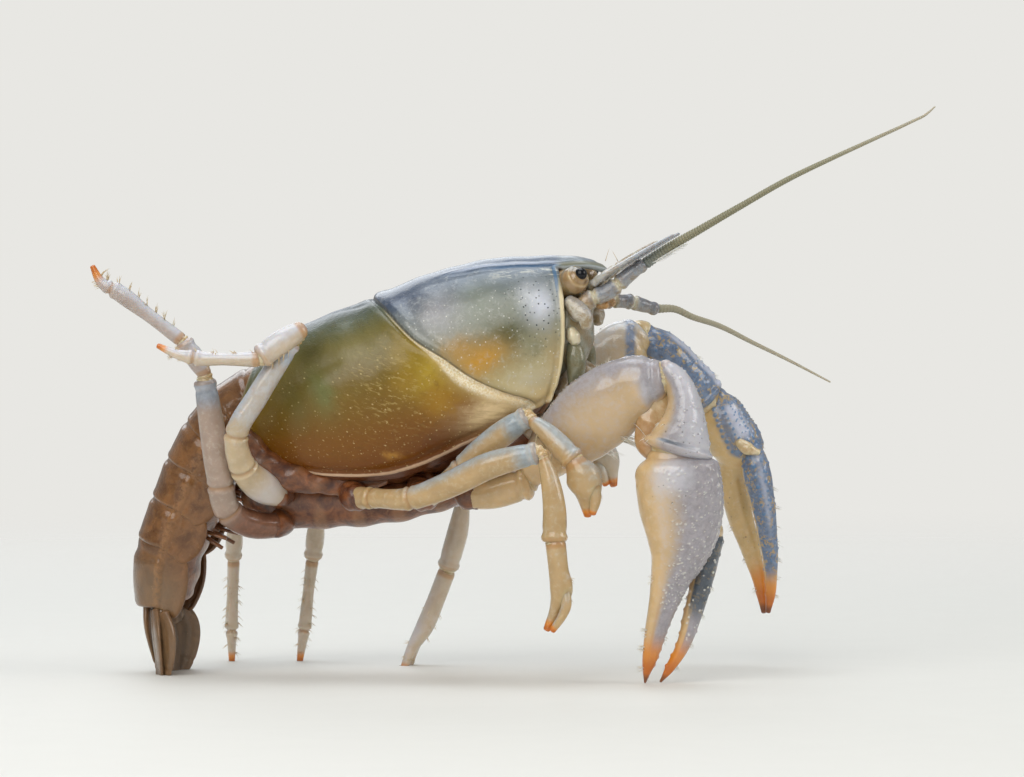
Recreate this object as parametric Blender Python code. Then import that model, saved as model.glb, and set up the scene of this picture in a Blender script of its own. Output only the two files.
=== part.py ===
"""A burrowing bog crayfish as a still, life-size museum model, resting on a floor at height zero.

The head looks along +X, the animal's left side is +Y and up is +Z. Every size and place in the tables is
in millimetres, and the meshes are in metres. The shell is laid out in the crayfish's own frame (forward,
left, up), which is pitched nose up and turned a little to its right. Limbs are laid out where they stand.
"""

import math

import bmesh
import bpy
import numpy as np
from mathutils import Matrix, Vector

# Driving sizes, in millimetres and degrees.
MM = 0.001
GAP = 0.3
BODY_PITCH = 18.0
BODY_TURN = 10.0
BODY_PLACE = (-8.4, 0.0, 22.9)
ROLL = -3.0
ROLL_HEIGHT = 22.2
FLOOR = 0.6
MODEL_SHIFT = (0.0, -2.81, -FLOOR)

# The shell along its length: forward place, top, lower edge and greatest half width.
SHELL_F = (-12.2, -11.6, -10.6, -9.5, -8.2, -6.1, -4.4, -2.7, -0.9, 1.0, 3.7, 5.5, 7.3, 9.2, 11.0, 12.7, 14.4)
SHELL_TOP = (1.6, 2.9, 3.9, 4.65, 5.3, 6.02, 6.25, 6.38, 6.36, 6.58, 6.88, 6.86, 6.74, 6.56, 6.18, 5.7, 5.06)
SHELL_LOW = (-0.9, -2.3, -3.4, -4.1, -4.7, -5.65, -6.25, -6.7, -6.9, -6.85, -6.5, -6.25, -5.95, -5.6, -5.25, -4.9, -4.3)
SHELL_WIDE = (4.3, 4.6, 5.0, 5.3, 5.65, 6.05, 6.25, 6.35, 6.35, 6.28, 6.0, 5.7, 5.35, 4.9, 4.4, 3.9, 3.3)
SHELL_EDGE_SHARE = 0.62
ROUND_SHARE = 0.52

# How far forward the rear edge, the neck groove and the front edge lie, from the back line round to the lower edge.
ROUND_PLACE = (0.0, 0.1, 0.2, 0.3, 0.4, 0.5, 0.6, 0.7, 0.8, 0.9, 1.0)
REAR_EDGE = (-10.1, -10.2, -10.6, -11.2, -11.7, -12.1, -12.2, -12.0, -11.4, -10.5, -9.5)
NECK_GROOVE = (-0.1, 0.4, 1.3, 2.5, 3.75, 5.2, 6.75, 8.3, 9.7, 9.9, 9.2)
FRONT_EDGE = (13.6, 13.9, 14.2, 14.3, 14.2, 13.9, 13.4, 12.7, 11.85, 10.95, 10.1)
GROOVE_DEPTH = 0.38
REAR_RINGS = (0.0, 0.06, 0.17, 0.31, 0.46, 0.61, 0.75, 0.87, 0.955)
FRONT_RINGS = (0.045, 0.13, 0.25, 0.4, 0.55, 0.7, 0.84, 0.94, 1.0)
ARC_STEPS = 12
UNDER_STEPS = 4

# The beak over the eyes: forward place, centre height, half width and half thickness.
BEAK = ((11.8, 4.8, 2.2, 0.95), (13.4, 4.72, 2.05, 0.75), (14.6, 4.52, 1.75, 0.53), (15.8, 4.15, 1.4, 0.42),
        (16.9, 3.6, 0.9, 0.33), (17.6, 3.25, 0.35, 0.22))

# The plate between the legs and the front of the head: forward place, centre height, half width, half height.
STERNUM = ((-13.4, -4.4, 1.6, 1.5), (-11.6, -5.4, 2.3, 2.3), (-7.0, -7.2, 2.6, 2.2), (-2.0, -8.6, 2.5, 1.7),
           (3.0, -8.5, 2.2, 1.6), (7.0, -7.3, 1.9, 1.4), (9.0, -6.5, 1.4, 1.1))
FACE = ((9.6, -1.6, 3.0, 3.3), (11.6, -1.1, 3.0, 3.1), (12.8, -0.4, 2.9, 2.7), (13.8, 0.4, 2.6, 2.1),
        (14.6, 1.0, 2.2, 1.5), (15.2, 1.3, 1.3, 0.8))

EYE_PLACE = (15.3, 2.2, 3.06)
EYE_BALL_RADIUS = 1.03
PUPIL_PLACE = (15.99, 2.72, 3.36)
PUPIL_RADIUS = 0.47

# The tail's middle line in the plane of the body: x and height, then half height and half width.
TAIL_LINE = ((-17.9, 21.9, 2.4, 3.5), (-19.4, 21.1, 2.5, 3.7), (-20.9, 19.9, 2.6, 3.9), (-22.4, 18.1, 2.6, 3.9),
             (-23.6, 15.8, 2.6, 3.8), (-24.7, 13.1, 2.55, 3.6), (-25.8, 10.3, 2.45, 3.4), (-26.35, 7.5, 2.3, 3.1),
             (-26.4, 4.6, 1.8, 2.6))
TAIL_CUTS = (0.5, 1.6, 2.7, 3.75, 4.8, 5.85, 7.45)
BELLY_SHARE = 0.7
FLAP_REACH = (0.2, 0.9, 1.2, 1.2, 1.15, 0.8)
SWIMMERET_LENGTH = 2.6

# Limbs are rows of x, y, height, half width across the bend plane and half thickness.
RIGHT_CLAW = {
    "base": ((-3.2, -4.3, 14.6, 1.1, 1.0), (-1.2, -5.0, 14.8, 1.15, 1.05), (1.0, -5.5, 15.5, 1.15, 1.1)),
    "arm": ((1.4, -5.6, 16.0, 0.95, 0.9), (2.2, -6.0, 17.2, 1.6, 1.15), (3.6, -6.4, 18.6, 2.3, 1.35),
            (5.0, -6.8, 19.8, 2.75, 1.5), (6.5, -7.3, 21.1, 2.9, 1.7), (8.2, -7.8, 22.4, 2.6, 1.8),
            (9.7, -8.3, 23.2, 2.1, 1.7), (10.8, -8.6, 23.4, 1.45, 1.3)),
    "wrist": ((11.2, -8.8, 24.5, 0.6, 0.8), (12.1, -8.9, 23.4, 0.95, 1.3), (12.6, -9.1, 21.8, 1.25, 1.75),
              (12.6, -9.25, 20.5, 1.65, 1.95), (12.4, -9.35, 19.4, 2.15, 2.0), (12.15, -9.4, 18.5, 2.55, 1.95)),
    "palm": ((12.0, -9.4, 17.9, 2.2, 1.4), (12.05, -9.4, 17.3, 2.85, 1.75), (12.2, -9.4, 16.2, 3.12, 1.92),
             (12.33, -9.35, 14.9, 3.15, 1.98), (12.45, -9.3, 13.4, 3.0, 1.9), (12.4, -9.3, 12.0, 2.65, 1.75),
             (12.15, -9.2, 10.5, 2.1, 1.5), (11.7, -9.1, 9.1, 1.52, 1.25), (11.3, -9.05, 7.6, 1.14, 1.05),
             (10.88, -9.0, 6.1, 0.9, 0.9), (10.52, -8.9, 4.6, 0.72, 0.72), (10.18, -8.8, 3.1, 0.54, 0.54),
             (9.95, -8.7, 1.9, 0.36, 0.38), (9.75, -8.6, -0.25, 0.2, 0.2)),
    "finger": ((14.9, -8.4, 12.4, 0.6, 0.7), (14.75, -8.2, 11.4, 0.75, 0.8), (14.5, -8.2, 10.4, 0.78, 0.8),
               (14.12, -8.2, 9.0, 0.8, 0.75), (13.7, -8.25, 7.5, 0.76, 0.7), (13.3, -8.3, 6.1, 0.66, 0.62),
               (12.88, -8.4, 4.6, 0.52, 0.52), (12.28, -8.5, 3.2, 0.4, 0.42), (11.55, -8.5, 2.0, 0.3, 0.32),
               (10.8, -8.5, 0.0, 0.2, 0.2)),
}
LEFT_CLAW = {
    "base": ((-3.4, 3.0, 14.4, 1.1, 1.0), (-1.6, 3.7, 14.3, 1.15, 1.05), (0.3, 4.3, 14.8, 1.15, 1.1)),
    "arm": ((0.7, 4.5, 15.3, 0.95, 0.9), (2.6, 4.9, 16.4, 1.6, 1.15), (5.0, 5.5, 18.8, 2.4, 1.4),
            (6.9, 6.2, 21.9, 2.75, 1.7), (8.0, 6.6, 24.0, 2.65, 1.75), (9.0, 6.9, 25.3, 2.0, 1.5),
            (9.6, 7.1, 25.8, 1.4, 1.15)),
    "wrist": ((10.1, 7.4, 25.9, 0.95, 0.9), (10.7, 7.5, 25.1, 1.5, 1.4), (11.8, 7.8, 24.0, 1.75, 1.65),
              (13.1, 8.2, 22.6, 1.8, 1.7), (14.2, 8.5, 21.5, 1.75, 1.65), (14.8, 8.65, 20.9, 1.6, 1.5)),
    "palm": ((15.5, 9.0, 20.9, 1.1, 1.0), (15.95, 9.2, 19.8, 1.7, 1.6), (16.6, 9.4, 18.3, 2.0, 1.95),
             (17.3, 9.6, 16.9, 2.05, 2.1), (17.3, 9.8, 15.8, 1.65, 1.75), (16.95, 9.9, 14.8, 1.2, 1.35),
             (17.15, 9.9, 13.3, 1.05, 1.15), (17.55, 9.9, 11.7, 0.95, 1.0), (18.0, 9.9, 10.3, 0.82, 0.9),
             (18.5, 9.8, 8.7, 0.66, 0.75), (18.95, 9.7, 7.1, 0.5, 0.58), (19.25, 9.6, 5.5, 0.35, 0.42),
             (19.4, 9.5, 4.3, 0.22, 0.26)),
    "finger": ((18.5, 7.9, 16.6, 0.9, 0.7), (18.7, 7.8, 15.1, 1.1, 0.85), (19.1, 7.9, 13.4, 0.98, 0.85),
               (19.4, 8.0, 11.7, 0.84, 0.76), (19.6, 8.1, 10.2, 0.7, 0.66), (19.8, 8.3, 8.7, 0.56, 0.56),
               (19.9, 8.5, 7.1, 0.42, 0.45), (19.85, 8.6, 5.6, 0.32, 0.34), (19.7, 8.7, 4.4, 0.2, 0.22)),
}
RIGHT_LEG_2 = {
    "upper": ((-6.6, -3.9, 14.3, 0.95, 0.9), (-5.6, -5.0, 14.9, 0.8, 0.75), (-4.4, -5.7, 16.0, 0.8, 0.75),
              (-2.6, -6.6, 17.8, 0.92, 0.85), (-0.4, -7.4, 19.6, 0.95, 0.85), (1.0, -7.9, 20.6, 0.8, 0.74)),
    "shank": ((1.5, -8.2, 20.4, 0.5, 0.5), (2.6, -8.7, 19.5, 0.75, 0.7), (4.4, -9.4, 17.7, 0.9, 0.8)),
    "hand": ((4.7, -9.5, 17.3, 0.85, 0.85), (5.2, -9.6, 16.4, 1.3, 1.0), (5.5, -9.6, 15.4, 1.1, 0.85),
             (5.5, -9.4, 14.5, 0.62, 0.5), (5.55, -9.3, 13.5, 0.28, 0.28)),
    "thumb": ((6.0, -9.9, 15.7, 0.5, 0.45), (6.1, -10.0, 14.7, 0.42, 0.38), (5.9, -9.9, 13.7, 0.26, 0.26)),
}
RIGHT_LEG_3 = {
    "upper": ((-11.8, -3.5, 14.3, 0.95, 0.9), (-10.3, -5.0, 14.4, 0.75, 0.72), (-7.4, -7.2, 14.6, 0.85, 0.78),
              (-4.8, -8.2, 15.6, 0.98, 0.88), (-1.6, -9.3, 17.2, 1.0, 0.88), (1.7, -10.4, 18.2, 0.8, 0.74)),
    "shank": ((2.3, -10.6, 17.8, 0.45, 0.5), (2.8, -10.8, 16.1, 0.7, 0.68), (3.1, -11.0, 14.1, 0.85, 0.76),
              (3.1, -11.2, 12.0, 0.92, 0.8)),
    "hand": ((3.2, -11.2, 11.5, 0.75, 0.75), (3.4, -11.3, 9.7, 0.74, 0.7), (3.6, -11.3, 8.1, 0.82, 0.68),
             (3.25, -11.1, 6.9, 0.5, 0.45), (2.55, -11.0, 5.3, 0.26, 0.26)),
    "thumb": ((3.9, -11.5, 8.2, 0.38, 0.4), (3.95, -11.75, 7.1, 0.38, 0.36), (3.45, -11.7, 6.0, 0.3, 0.3),
              (2.95, -11.5, 5.3, 0.25, 0.25)),
}
RIGHT_LEG_4 = {
    "upper": ((-17.3, -2.4, 14.3, 0.85, 0.8), (-18.6, -4.2, 15.2, 1.2, 1.05), (-19.9, -6.0, 16.8, 1.0, 0.9),
              (-20.3, -7.3, 19.3, 0.85, 0.8), (-18.7, -7.5, 22.2, 0.82, 0.78), (-16.3, -7.5, 26.0, 0.72, 0.7)),
    "shank": ((-15.6, -7.7, 27.0, 0.72, 0.62), (-16.9, -8.2, 26.2, 0.9, 0.75), (-18.3, -8.5, 25.2, 0.88, 0.74)),
    "foot": ((-18.8, -8.6, 24.95, 0.58, 0.54), (-21.0, -8.5, 24.95, 0.46, 0.44), (-23.4, -8.4, 25.05, 0.52, 0.46),
             (-24.6, -8.2, 25.3, 0.36, 0.32), (-26.0, -8.0, 25.9, 0.2, 0.2)),
}
RIGHT_LEG_5 = {
    "upper": ((-17.4, -1.2, 12.0, 0.9, 0.85), (-19.4, -2.4, 12.2, 1.05, 0.95), (-21.1, -3.6, 13.3, 1.0, 0.92),
              (-21.7, -4.8, 16.0, 0.98, 0.88), (-22.2, -5.2, 19.6, 0.96, 0.86), (-22.7, -5.5, 23.0, 0.8, 0.74)),
    "shank": ((-22.8, -5.6, 23.8, 0.6, 0.58), (-23.4, -5.6, 24.8, 0.72, 0.68), (-24.2, -5.6, 25.9, 0.68, 0.64)),
    "foot": ((-24.6, -5.6, 26.3, 0.52, 0.5), (-26.7, -5.5, 27.9, 0.5, 0.46), (-29.1, -5.4, 29.7, 0.62, 0.52),
             (-30.4, -5.3, 30.5, 0.38, 0.34), (-31.0, -5.2, 31.6, 0.2, 0.2)),
}
LEFT_LEG_2 = {
    "upper": ((-6.4, 3.3, 14.1, 0.95, 0.9), (-5.3, 4.6, 14.6, 0.8, 0.75), (-4.0, 5.6, 15.8, 0.8, 0.75),
              (-2.0, 6.7, 17.6, 0.92, 0.85), (0.2, 7.6, 19.2, 0.95, 0.85), (1.7, 8.1, 19.9, 0.78, 0.72)),
    "shank": ((2.2, 8.3, 19.8, 0.5, 0.5), (3.7, 8.5, 19.2, 0.75, 0.7), (5.7, 8.5, 18.0, 0.88, 0.78)),
    "hand": ((6.1, 8.5, 17.6, 0.75, 0.75), (6.8, 8.4, 16.8, 1.1, 0.95), (7.3, 8.2, 15.9, 1.0, 0.8),
             (7.6, 8.1, 15.0, 0.55, 0.48), (7.8, 8.0, 14.2, 0.28, 0.28)),
    "thumb": ((6.6, 8.0, 16.0, 0.45, 0.45), (6.9, 7.6, 15.1, 0.4, 0.38), (7.2, 7.6, 14.3, 0.26, 0.26)),
}
LEFT_LEG_3 = {
    "upper": ((-11.6, 3.9, 13.7, 0.95, 0.9), (-10.6, 5.2, 13.2, 0.78, 0.74), (-9.2, 6.2, 13.0, 0.88, 0.8),
              (-7.4, 7.4, 13.2, 1.0, 0.9), (-5.5, 8.6, 13.5, 1.0, 0.9), (-4.1, 9.5, 13.3, 0.85, 0.78)),
    "shank": ((-3.8, 9.8, 12.7, 0.6, 0.55), (-4.1, 10.1, 10.8, 0.88, 0.78), (-4.9, 10.4, 7.8, 0.92, 0.8)),
    "hand": ((-5.1, 10.5, 7.1, 0.72, 0.68), (-5.9, 10.6, 5.0, 0.76, 0.68), (-6.8, 10.7, 2.9, 0.86, 0.68),
             (-7.7, 10.4, 1.4, 0.48, 0.44), (-8.5, 10.3, -0.6, 0.26, 0.26)),
    "thumb": ((-7.0, 11.1, 2.4, 0.42, 0.4), (-7.5, 11.4, 1.3, 0.36, 0.34), (-8.1, 11.2, -0.6, 0.26, 0.26)),
}
LEFT_LEG_4 = {
    "upper": ((-14.7, 4.2, 13.5, 0.85, 0.8), (-15.1, 5.7, 12.9, 0.92, 0.85), (-15.6, 7.4, 12.8, 0.82, 0.78),
              (-15.7, 9.6, 12.6, 0.85, 0.8), (-15.6, 11.8, 12.2, 0.84, 0.78), (-15.3, 13.6, 11.6, 0.7, 0.68)),
    "shank": ((-15.2, 14.0, 11.0, 0.55, 0.55), (-15.3, 14.5, 9.8, 0.76, 0.7), (-15.5, 14.9, 8.1, 0.72, 0.68)),
    "foot": ((-15.6, 15.0, 7.5, 0.52, 0.5), (-15.9, 15.3, 5.2, 0.46, 0.44), (-16.2, 15.5, 2.5, 0.54, 0.48),
             (-16.4, 15.6, 1.2, 0.4, 0.36), (-16.6, 15.6, -0.3, 0.24, 0.24)),
}
LEFT_LEG_5 = {
    "upper": ((-17.2, 4.2, 12.4, 0.9, 0.85), (-18.3, 5.8, 11.8, 0.92, 0.88), (-19.0, 7.4, 11.6, 0.9, 0.85),
              (-19.9, 9.4, 11.7, 0.92, 0.84), (-20.8, 11.4, 11.5, 0.9, 0.82), (-21.4, 13.1, 11.0, 0.76, 0.72)),
    "shank": ((-21.5, 13.5, 10.4, 0.55, 0.55), (-21.6, 14.0, 9.3, 0.7, 0.66), (-21.7, 14.5, 8.1, 0.66, 0.62)),
    "foot": ((-21.7, 14.7, 7.5, 0.5, 0.48), (-21.8, 15.0, 5.1, 0.46, 0.44), (-21.9, 15.3, 2.4, 0.56, 0.48),
             (-21.9, 15.4, 1.1, 0.38, 0.34), (-21.9, 15.4, -0.3, 0.24, 0.24)),
}

# Feelers: rows of x, y, height and radius.
RIGHT_PEDUNCLE = ((4.8, -4.5, 28.0, 0.7), (5.6, -4.5, 29.0, 0.66), (7.1, -4.5, 29.7, 0.62), (7.9, -4.45, 30.3, 0.6),
                  (8.6, -4.4, 30.9, 0.56), (9.6, -4.3, 31.65, 0.5))
LEFT_PEDUNCLE = ((6.1, 0.1, 28.6, 0.6), (7.3, 0.7, 28.8, 0.6), (8.1, 1.1, 28.7, 0.5), (8.8, 1.5, 28.65, 0.54),
                 (9.8, 2.1, 28.35, 0.52), (10.75, 2.5, 28.05, 0.46))
RIGHT_WHIP = ((10.0, -4.3, 31.9, 0.5), (11.5, -4.3, 32.9, 0.44), (13.9, -4.4, 34.3, 0.38), (17.0, -4.6, 36.1, 0.32),
              (20.5, -4.9, 38.1, 0.29), (23.6, -5.2, 39.6, 0.27), (26.4, -5.5, 40.9, 0.26), (29.4, -5.9, 42.3, 0.25),
              (30.4, -6.1, 42.8, 0.25), (31.1, -6.2, 43.4, 0.25))
LEFT_WHIP = ((11.1, 2.7, 28.05, 0.4), (12.2, 3.4, 28.0, 0.36), (13.6, 4.5, 27.35, 0.33), (15.6, 6.5, 26.6, 0.3),
             (18.4, 9.6, 25.1, 0.28), (21.4, 12.8, 23.5, 0.26), (24.8, 16.0, 21.6, 0.25))
SCALE = ((16.6, 1.9, 2.4, 0.4, 0.32), (17.6, 2.1, 2.75, 0.6, 0.3), (18.9, 2.1, 3.05, 0.65, 0.28),
         (20.4, 1.95, 3.4, 0.65, 0.27), (22.0, 1.75, 3.75, 0.45, 0.26), (23.2, 1.6, 4.0, 0.25, 0.25))
FEELERET = ((16.1, 1.1, 2.2, 0.42), (17.3, 1.1, 2.65, 0.36), (18.5, 1.0, 3.1, 0.29), (20.1, 0.9, 3.6, 0.26),
            (21.0, 0.85, 3.85, 0.25))
FEELERET_FORK = ((17.9, 0.95, 2.9, 0.27), (19.4, 0.5, 3.3, 0.25), (20.6, 0.45, 3.6, 0.25))
JAW_LEG = ((8.4, 1.7, -6.6, 0.9, 0.75), (10.0, 1.65, -6.0, 1.0, 0.72), (11.5, 1.6, -5.0, 1.0, 0.7),
           (12.6, 1.5, -3.9, 0.85, 0.6), (13.3, 1.4, -3.0, 0.6, 0.5))
JAW_PALP = ((13.3, 1.3, -3.1, 0.5, 0.45), (14.0, 1.0, -4.0, 0.5, 0.42), (13.9, 0.8, -5.3, 0.42, 0.36),
            (13.2, 0.7, -6.3, 0.28, 0.26))

# Paddles of the tail fan: along from the root, across, out of the plane, half width, half thickness.
TELSON = ((-0.1, 0.0, 1.0, 1.5, 0.62), (1.4, 0.0, 0.95, 1.85, 0.56), (3.4, 0.0, 0.55, 1.7, 0.46),
          (5.0, 0.0, 0.1, 1.35, 0.38), (6.1, 0.0, -0.2, 0.9, 0.32))
PADDLE_STEM = ((-0.3, 1.6, 0.0, 0.75, 0.5), (1.1, 2.3, -0.4, 0.9, 0.5))
INNER_PADDLE = ((0.3, 2.1, 0.1, 0.8, 0.4), (2.0, 2.7, -0.1, 1.35, 0.36), (4.0, 2.7, -0.3, 1.3, 0.32),
                (5.9, 2.2, -0.4, 0.8, 0.28))
OUTER_PADDLE = ((0.5, 2.6, -0.5, 0.8, 0.4), (2.0, 3.2, -0.9, 1.2, 0.36), (4.0, 3.1, -0.8, 1.1, 0.32),
                (5.8, 2.5, -0.4, 0.65, 0.28))
INNER_LEAN = 22.0
OUTER_LEAN = 52.0

# Knobs along the front edge of each palm, and teeth along the fingers' inner edges.
PALM_KNOBS = 6
KNOB_RADIUS = 0.3
FINGER_TEETH = 4
TOOTH_RADIUS = 0.24

COLOURS = {
    "shell": ((0.22, 0.21, 0.12), 0.28),
    "underside": ((0.42, 0.27, 0.14), 0.4),
    "limb": ((0.62, 0.55, 0.42), 0.35),
    "claw": ((0.5, 0.47, 0.42), 0.33),
    "cornea": ((0.01, 0.01, 0.015), 0.1),
    "tail": ((0.24, 0.17, 0.09), 0.35),
    "feeler": ((0.3, 0.3, 0.25), 0.4),
}


def clear_scene():
    for old in list(bpy.data.objects):
        bpy.data.objects.remove(old, do_unlink=True)


def body_frame():
    """The crayfish's own axes (forward, left, up) as a matrix that works in millimetres."""
    pitch, turn = math.radians(BODY_PITCH), math.radians(BODY_TURN)
    forward = Vector((math.cos(pitch) * math.cos(turn), -math.cos(pitch) * math.sin(turn), math.sin(pitch)))
    left = Vector((math.sin(turn), math.cos(turn), 0.0))
    up = forward.cross(left)
    axes = Matrix((forward, left, up)).transposed().to_4x4()
    return Matrix.Translation(BODY_PLACE) @ axes


BODY = body_frame()
LEFT = Vector(BODY.col[1][:3])


def in_body(place):
    return BODY @ Vector(place)


def eased(at, rows, want):
    """Rows of numbers on a smooth curve through the given ones, at the wanted places."""
    slope = np.gradient(rows, at, axis=0)
    part = np.clip(np.searchsorted(at, want, side="right") - 1, 0, len(at) - 2)
    span = (at[part + 1] - at[part])[:, None]
    t = (want - at[part])[:, None] / span
    return ((2 * t**3 - 3 * t**2 + 1) * rows[part] + (t**3 - 2 * t**2 + t) * span * slope[part]
            + (3 * t**2 - 2 * t**3) * rows[part + 1] + (t**3 - t**2) * span * slope[part + 1])


def smooth_rows(rows, count):
    """Rows eased through the given ones, evenly by length along their first three columns."""
    rows = np.array(rows, float)
    steps = np.linalg.norm(np.diff(rows[:, :3], axis=0), axis=1)
    at = np.concatenate([[0.0], np.cumsum(steps)])
    return eased(at, rows, np.linspace(0.0, at[-1], count))


def mesh_object(name, points, faces):
    """A closed mesh from points in millimetres, with its faces turned outwards."""
    mesh = bpy.data.meshes.new(name)
    mesh.from_pydata([Vector(p) * MM for p in points], [], faces)
    work = bmesh.new()
    work.from_mesh(mesh)
    bmesh.ops.triangulate(work, faces=work.faces[:])
    bmesh.ops.recalc_face_normals(work, faces=work.faces[:])
    work.to_mesh(mesh)
    work.free()
    made = bpy.data.objects.new(name, mesh)
    bpy.context.scene.collection.objects.link(made)
    return made


def skin_rings(name, rings):
    """Joins closed rings of equal length into one body, with a flat cap on each end."""
    rings = [np.asarray(r, float) for r in rings]
    size = len(rings[0])
    points = np.concatenate(rings)
    faces = []
    for r in range(len(rings) - 1):
        for k in range(size):
            nxt = (k + 1) % size
            faces.append((r * size + k, r * size + nxt, (r + 1) * size + nxt, (r + 1) * size + k))
    faces.append(tuple(range(size)))
    faces.append(tuple(range((len(rings) - 1) * size, len(rings) * size)))
    return mesh_object(name, points.tolist(), faces)


def limb_rings(rows, depth_axis, sides, count, grow=0.0, dome=0.45):
    """Oval rings carried along a limb, with a smaller ring beyond each end to round it."""
    rows = smooth_rows(rows, count)
    centre = rows[:, :3]
    along = np.gradient(centre, axis=0)
    along /= np.linalg.norm(along, axis=1)[:, None]
    wide = np.cross(np.asarray(depth_axis, float), along)
    wide /= np.linalg.norm(wide, axis=1)[:, None]
    deep = np.cross(along, wide)
    turn = np.linspace(0.0, 2 * math.pi, sides, endpoint=False)
    rings = []
    for i in range(count):
        rings.append(centre[i] + np.outer(np.cos(turn) * (rows[i, 3] + grow), wide[i])
                     + np.outer(np.sin(turn) * (rows[i, 4] + grow), deep[i]))
    first, last = rings[0], rings[-1]
    reach = dome * min(rows[0, 3], rows[0, 4]) + grow
    rings.insert(0, centre[0] + (first - centre[0]) * 0.62 - along[0] * reach)
    reach = dome * min(rows[-1, 3], rows[-1, 4]) + grow
    rings.append(centre[-1] + (last - centre[-1]) * 0.62 + along[-1] * reach)
    return rings


def limb(name, rows, depth_axis=(0.0, 1.0, 0.0), sides=10, count=7, grow=0.0):
    return skin_rings(name, limb_rings(rows, depth_axis, sides, count, grow))


def whip(name, rows, count):
    """A feeler as a bevelled curve that thins along its rows, made into a mesh."""
    rows = smooth_rows(rows, count)
    curve = bpy.data.curves.new(name, "CURVE")
    curve.dimensions = "3D"
    curve.bevel_depth = MM
    curve.bevel_resolution = 2
    curve.use_fill_caps = True
    line = curve.splines.new("POLY")
    line.points.add(count - 1)
    for point, row in zip(line.points, rows):
        point.co = (row[0] * MM, row[1] * MM, row[2] * MM, 1.0)
        point.radius = row[3]
    holder = bpy.data.objects.new(name + "_line", curve)
    bpy.context.scene.collection.objects.link(holder)
    bpy.context.view_layer.update()
    graph = bpy.context.evaluated_depsgraph_get()
    mesh = bpy.data.meshes.new_from_object(holder.evaluated_get(graph))
    work = bmesh.new()
    work.from_mesh(mesh)
    bmesh.ops.remove_doubles(work, verts=work.verts[:], dist=0.00001)
    bmesh.ops.recalc_face_normals(work, faces=work.faces[:])
    work.to_mesh(mesh)
    work.free()
    bpy.data.objects.remove(holder)
    made = bpy.data.objects.new(name, mesh)
    bpy.context.scene.collection.objects.link(made)
    return made


def ball(name, place, radius, segments=14, rings=9):
    bpy.ops.mesh.primitive_uv_sphere_add(segments=segments, ring_count=rings, radius=radius * MM)
    made = bpy.context.object
    made.name = name
    made.data.transform(Matrix.Translation(Vector(place) * MM))
    return made


def knob(name, place, radius):
    bpy.ops.mesh.primitive_ico_sphere_add(subdivisions=1, radius=radius * MM)
    made = bpy.context.object
    made.name = name
    made.data.transform(Matrix.Translation(Vector(place) * MM))
    return made


def apply_booleans(piece):
    """Turns the piece's modifiers into its mesh."""
    bpy.context.view_layer.update()
    graph = bpy.context.evaluated_depsgraph_get()
    mesh = bpy.data.meshes.new_from_object(piece.evaluated_get(graph))
    piece.modifiers.clear()
    piece.data = mesh


def keep_largest(piece):
    """Deletes every closed surface of the piece but the one that reaches furthest."""
    work = bmesh.new()
    work.from_mesh(piece.data)
    bmesh.ops.remove_doubles(work, verts=work.verts[:], dist=0.0000005)
    bmesh.ops.triangulate(work, faces=work.faces[:])
    left, shells = set(work.verts), []
    while left:
        shell, front = set(), [left.pop()]
        while front:
            vert = front.pop()
            shell.add(vert)
            for edge in vert.link_edges:
                other = edge.other_vert(vert)
                if other in left:
                    left.remove(other)
                    front.append(other)
        shells.append(shell)
    largest = max(shells, key=len)
    bmesh.ops.delete(work, geom=[v for shell in shells if shell is not largest for v in shell], context="VERTS")
    work.to_mesh(piece.data)
    work.free()


def fuse(name, pieces):
    """One node from overlapping closed pieces, by one union on their collection."""
    first, others = pieces[0], pieces[1:]
    group = bpy.data.collections.new(name + "_pieces")
    bpy.context.scene.collection.children.link(group)
    for other in others:
        for old_group in list(other.users_collection):
            old_group.objects.unlink(other)
        group.objects.link(other)
    union = first.modifiers.new("union", "BOOLEAN")
    union.operation = "UNION"
    union.operand_type = "COLLECTION"
    union.collection = group
    union.solver = "EXACT"
    apply_booleans(first)
    for other in others:
        bpy.data.objects.remove(other, do_unlink=True)
    bpy.data.collections.remove(group)
    keep_largest(first)
    first.name = name
    return first


def cut(piece, cutters):
    """Takes the cutters out of a piece, so that it meets its neighbours face to face, and removes them."""
    for cutter in cutters:
        cutter.hide_render = True
        cutter.display_type = "WIRE"
        notch = piece.modifiers.new("clear_" + cutter.name, "BOOLEAN")
        notch.operation = "DIFFERENCE"
        notch.object = cutter
        notch.solver = "EXACT"
    apply_booleans(piece)
    for cutter in cutters:
        bpy.data.objects.remove(cutter, do_unlink=True)
    keep_largest(piece)


def under_floor():
    """A block whose top is the floor, which leaves a small flat on whatever reaches it."""
    bpy.ops.mesh.primitive_cube_add(size=1.0)
    block = bpy.context.object
    block.name = "under_floor"
    block.data.transform(Matrix.Diagonal((90 * MM, 70 * MM, 4 * MM, 1.0)))
    block.data.transform(Matrix.Translation((0.0, 0.0, (FLOOR - 2) * MM)))
    return block


def finish_material(piece, kind):
    colour, rough = COLOURS[kind]
    paint = bpy.data.materials.get(kind)
    if paint is None:
        paint = bpy.data.materials.new(kind)
        paint.use_nodes = True
        shader = paint.node_tree.nodes["Principled BSDF"]
        shader.inputs["Base Color"].default_value = (*colour, 1.0)
        shader.inputs["Roughness"].default_value = rough
        shader.inputs["Metallic"].default_value = 0.0
    piece.data.materials.clear()
    piece.data.materials.append(paint)
    piece.data.shade_smooth()


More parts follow.
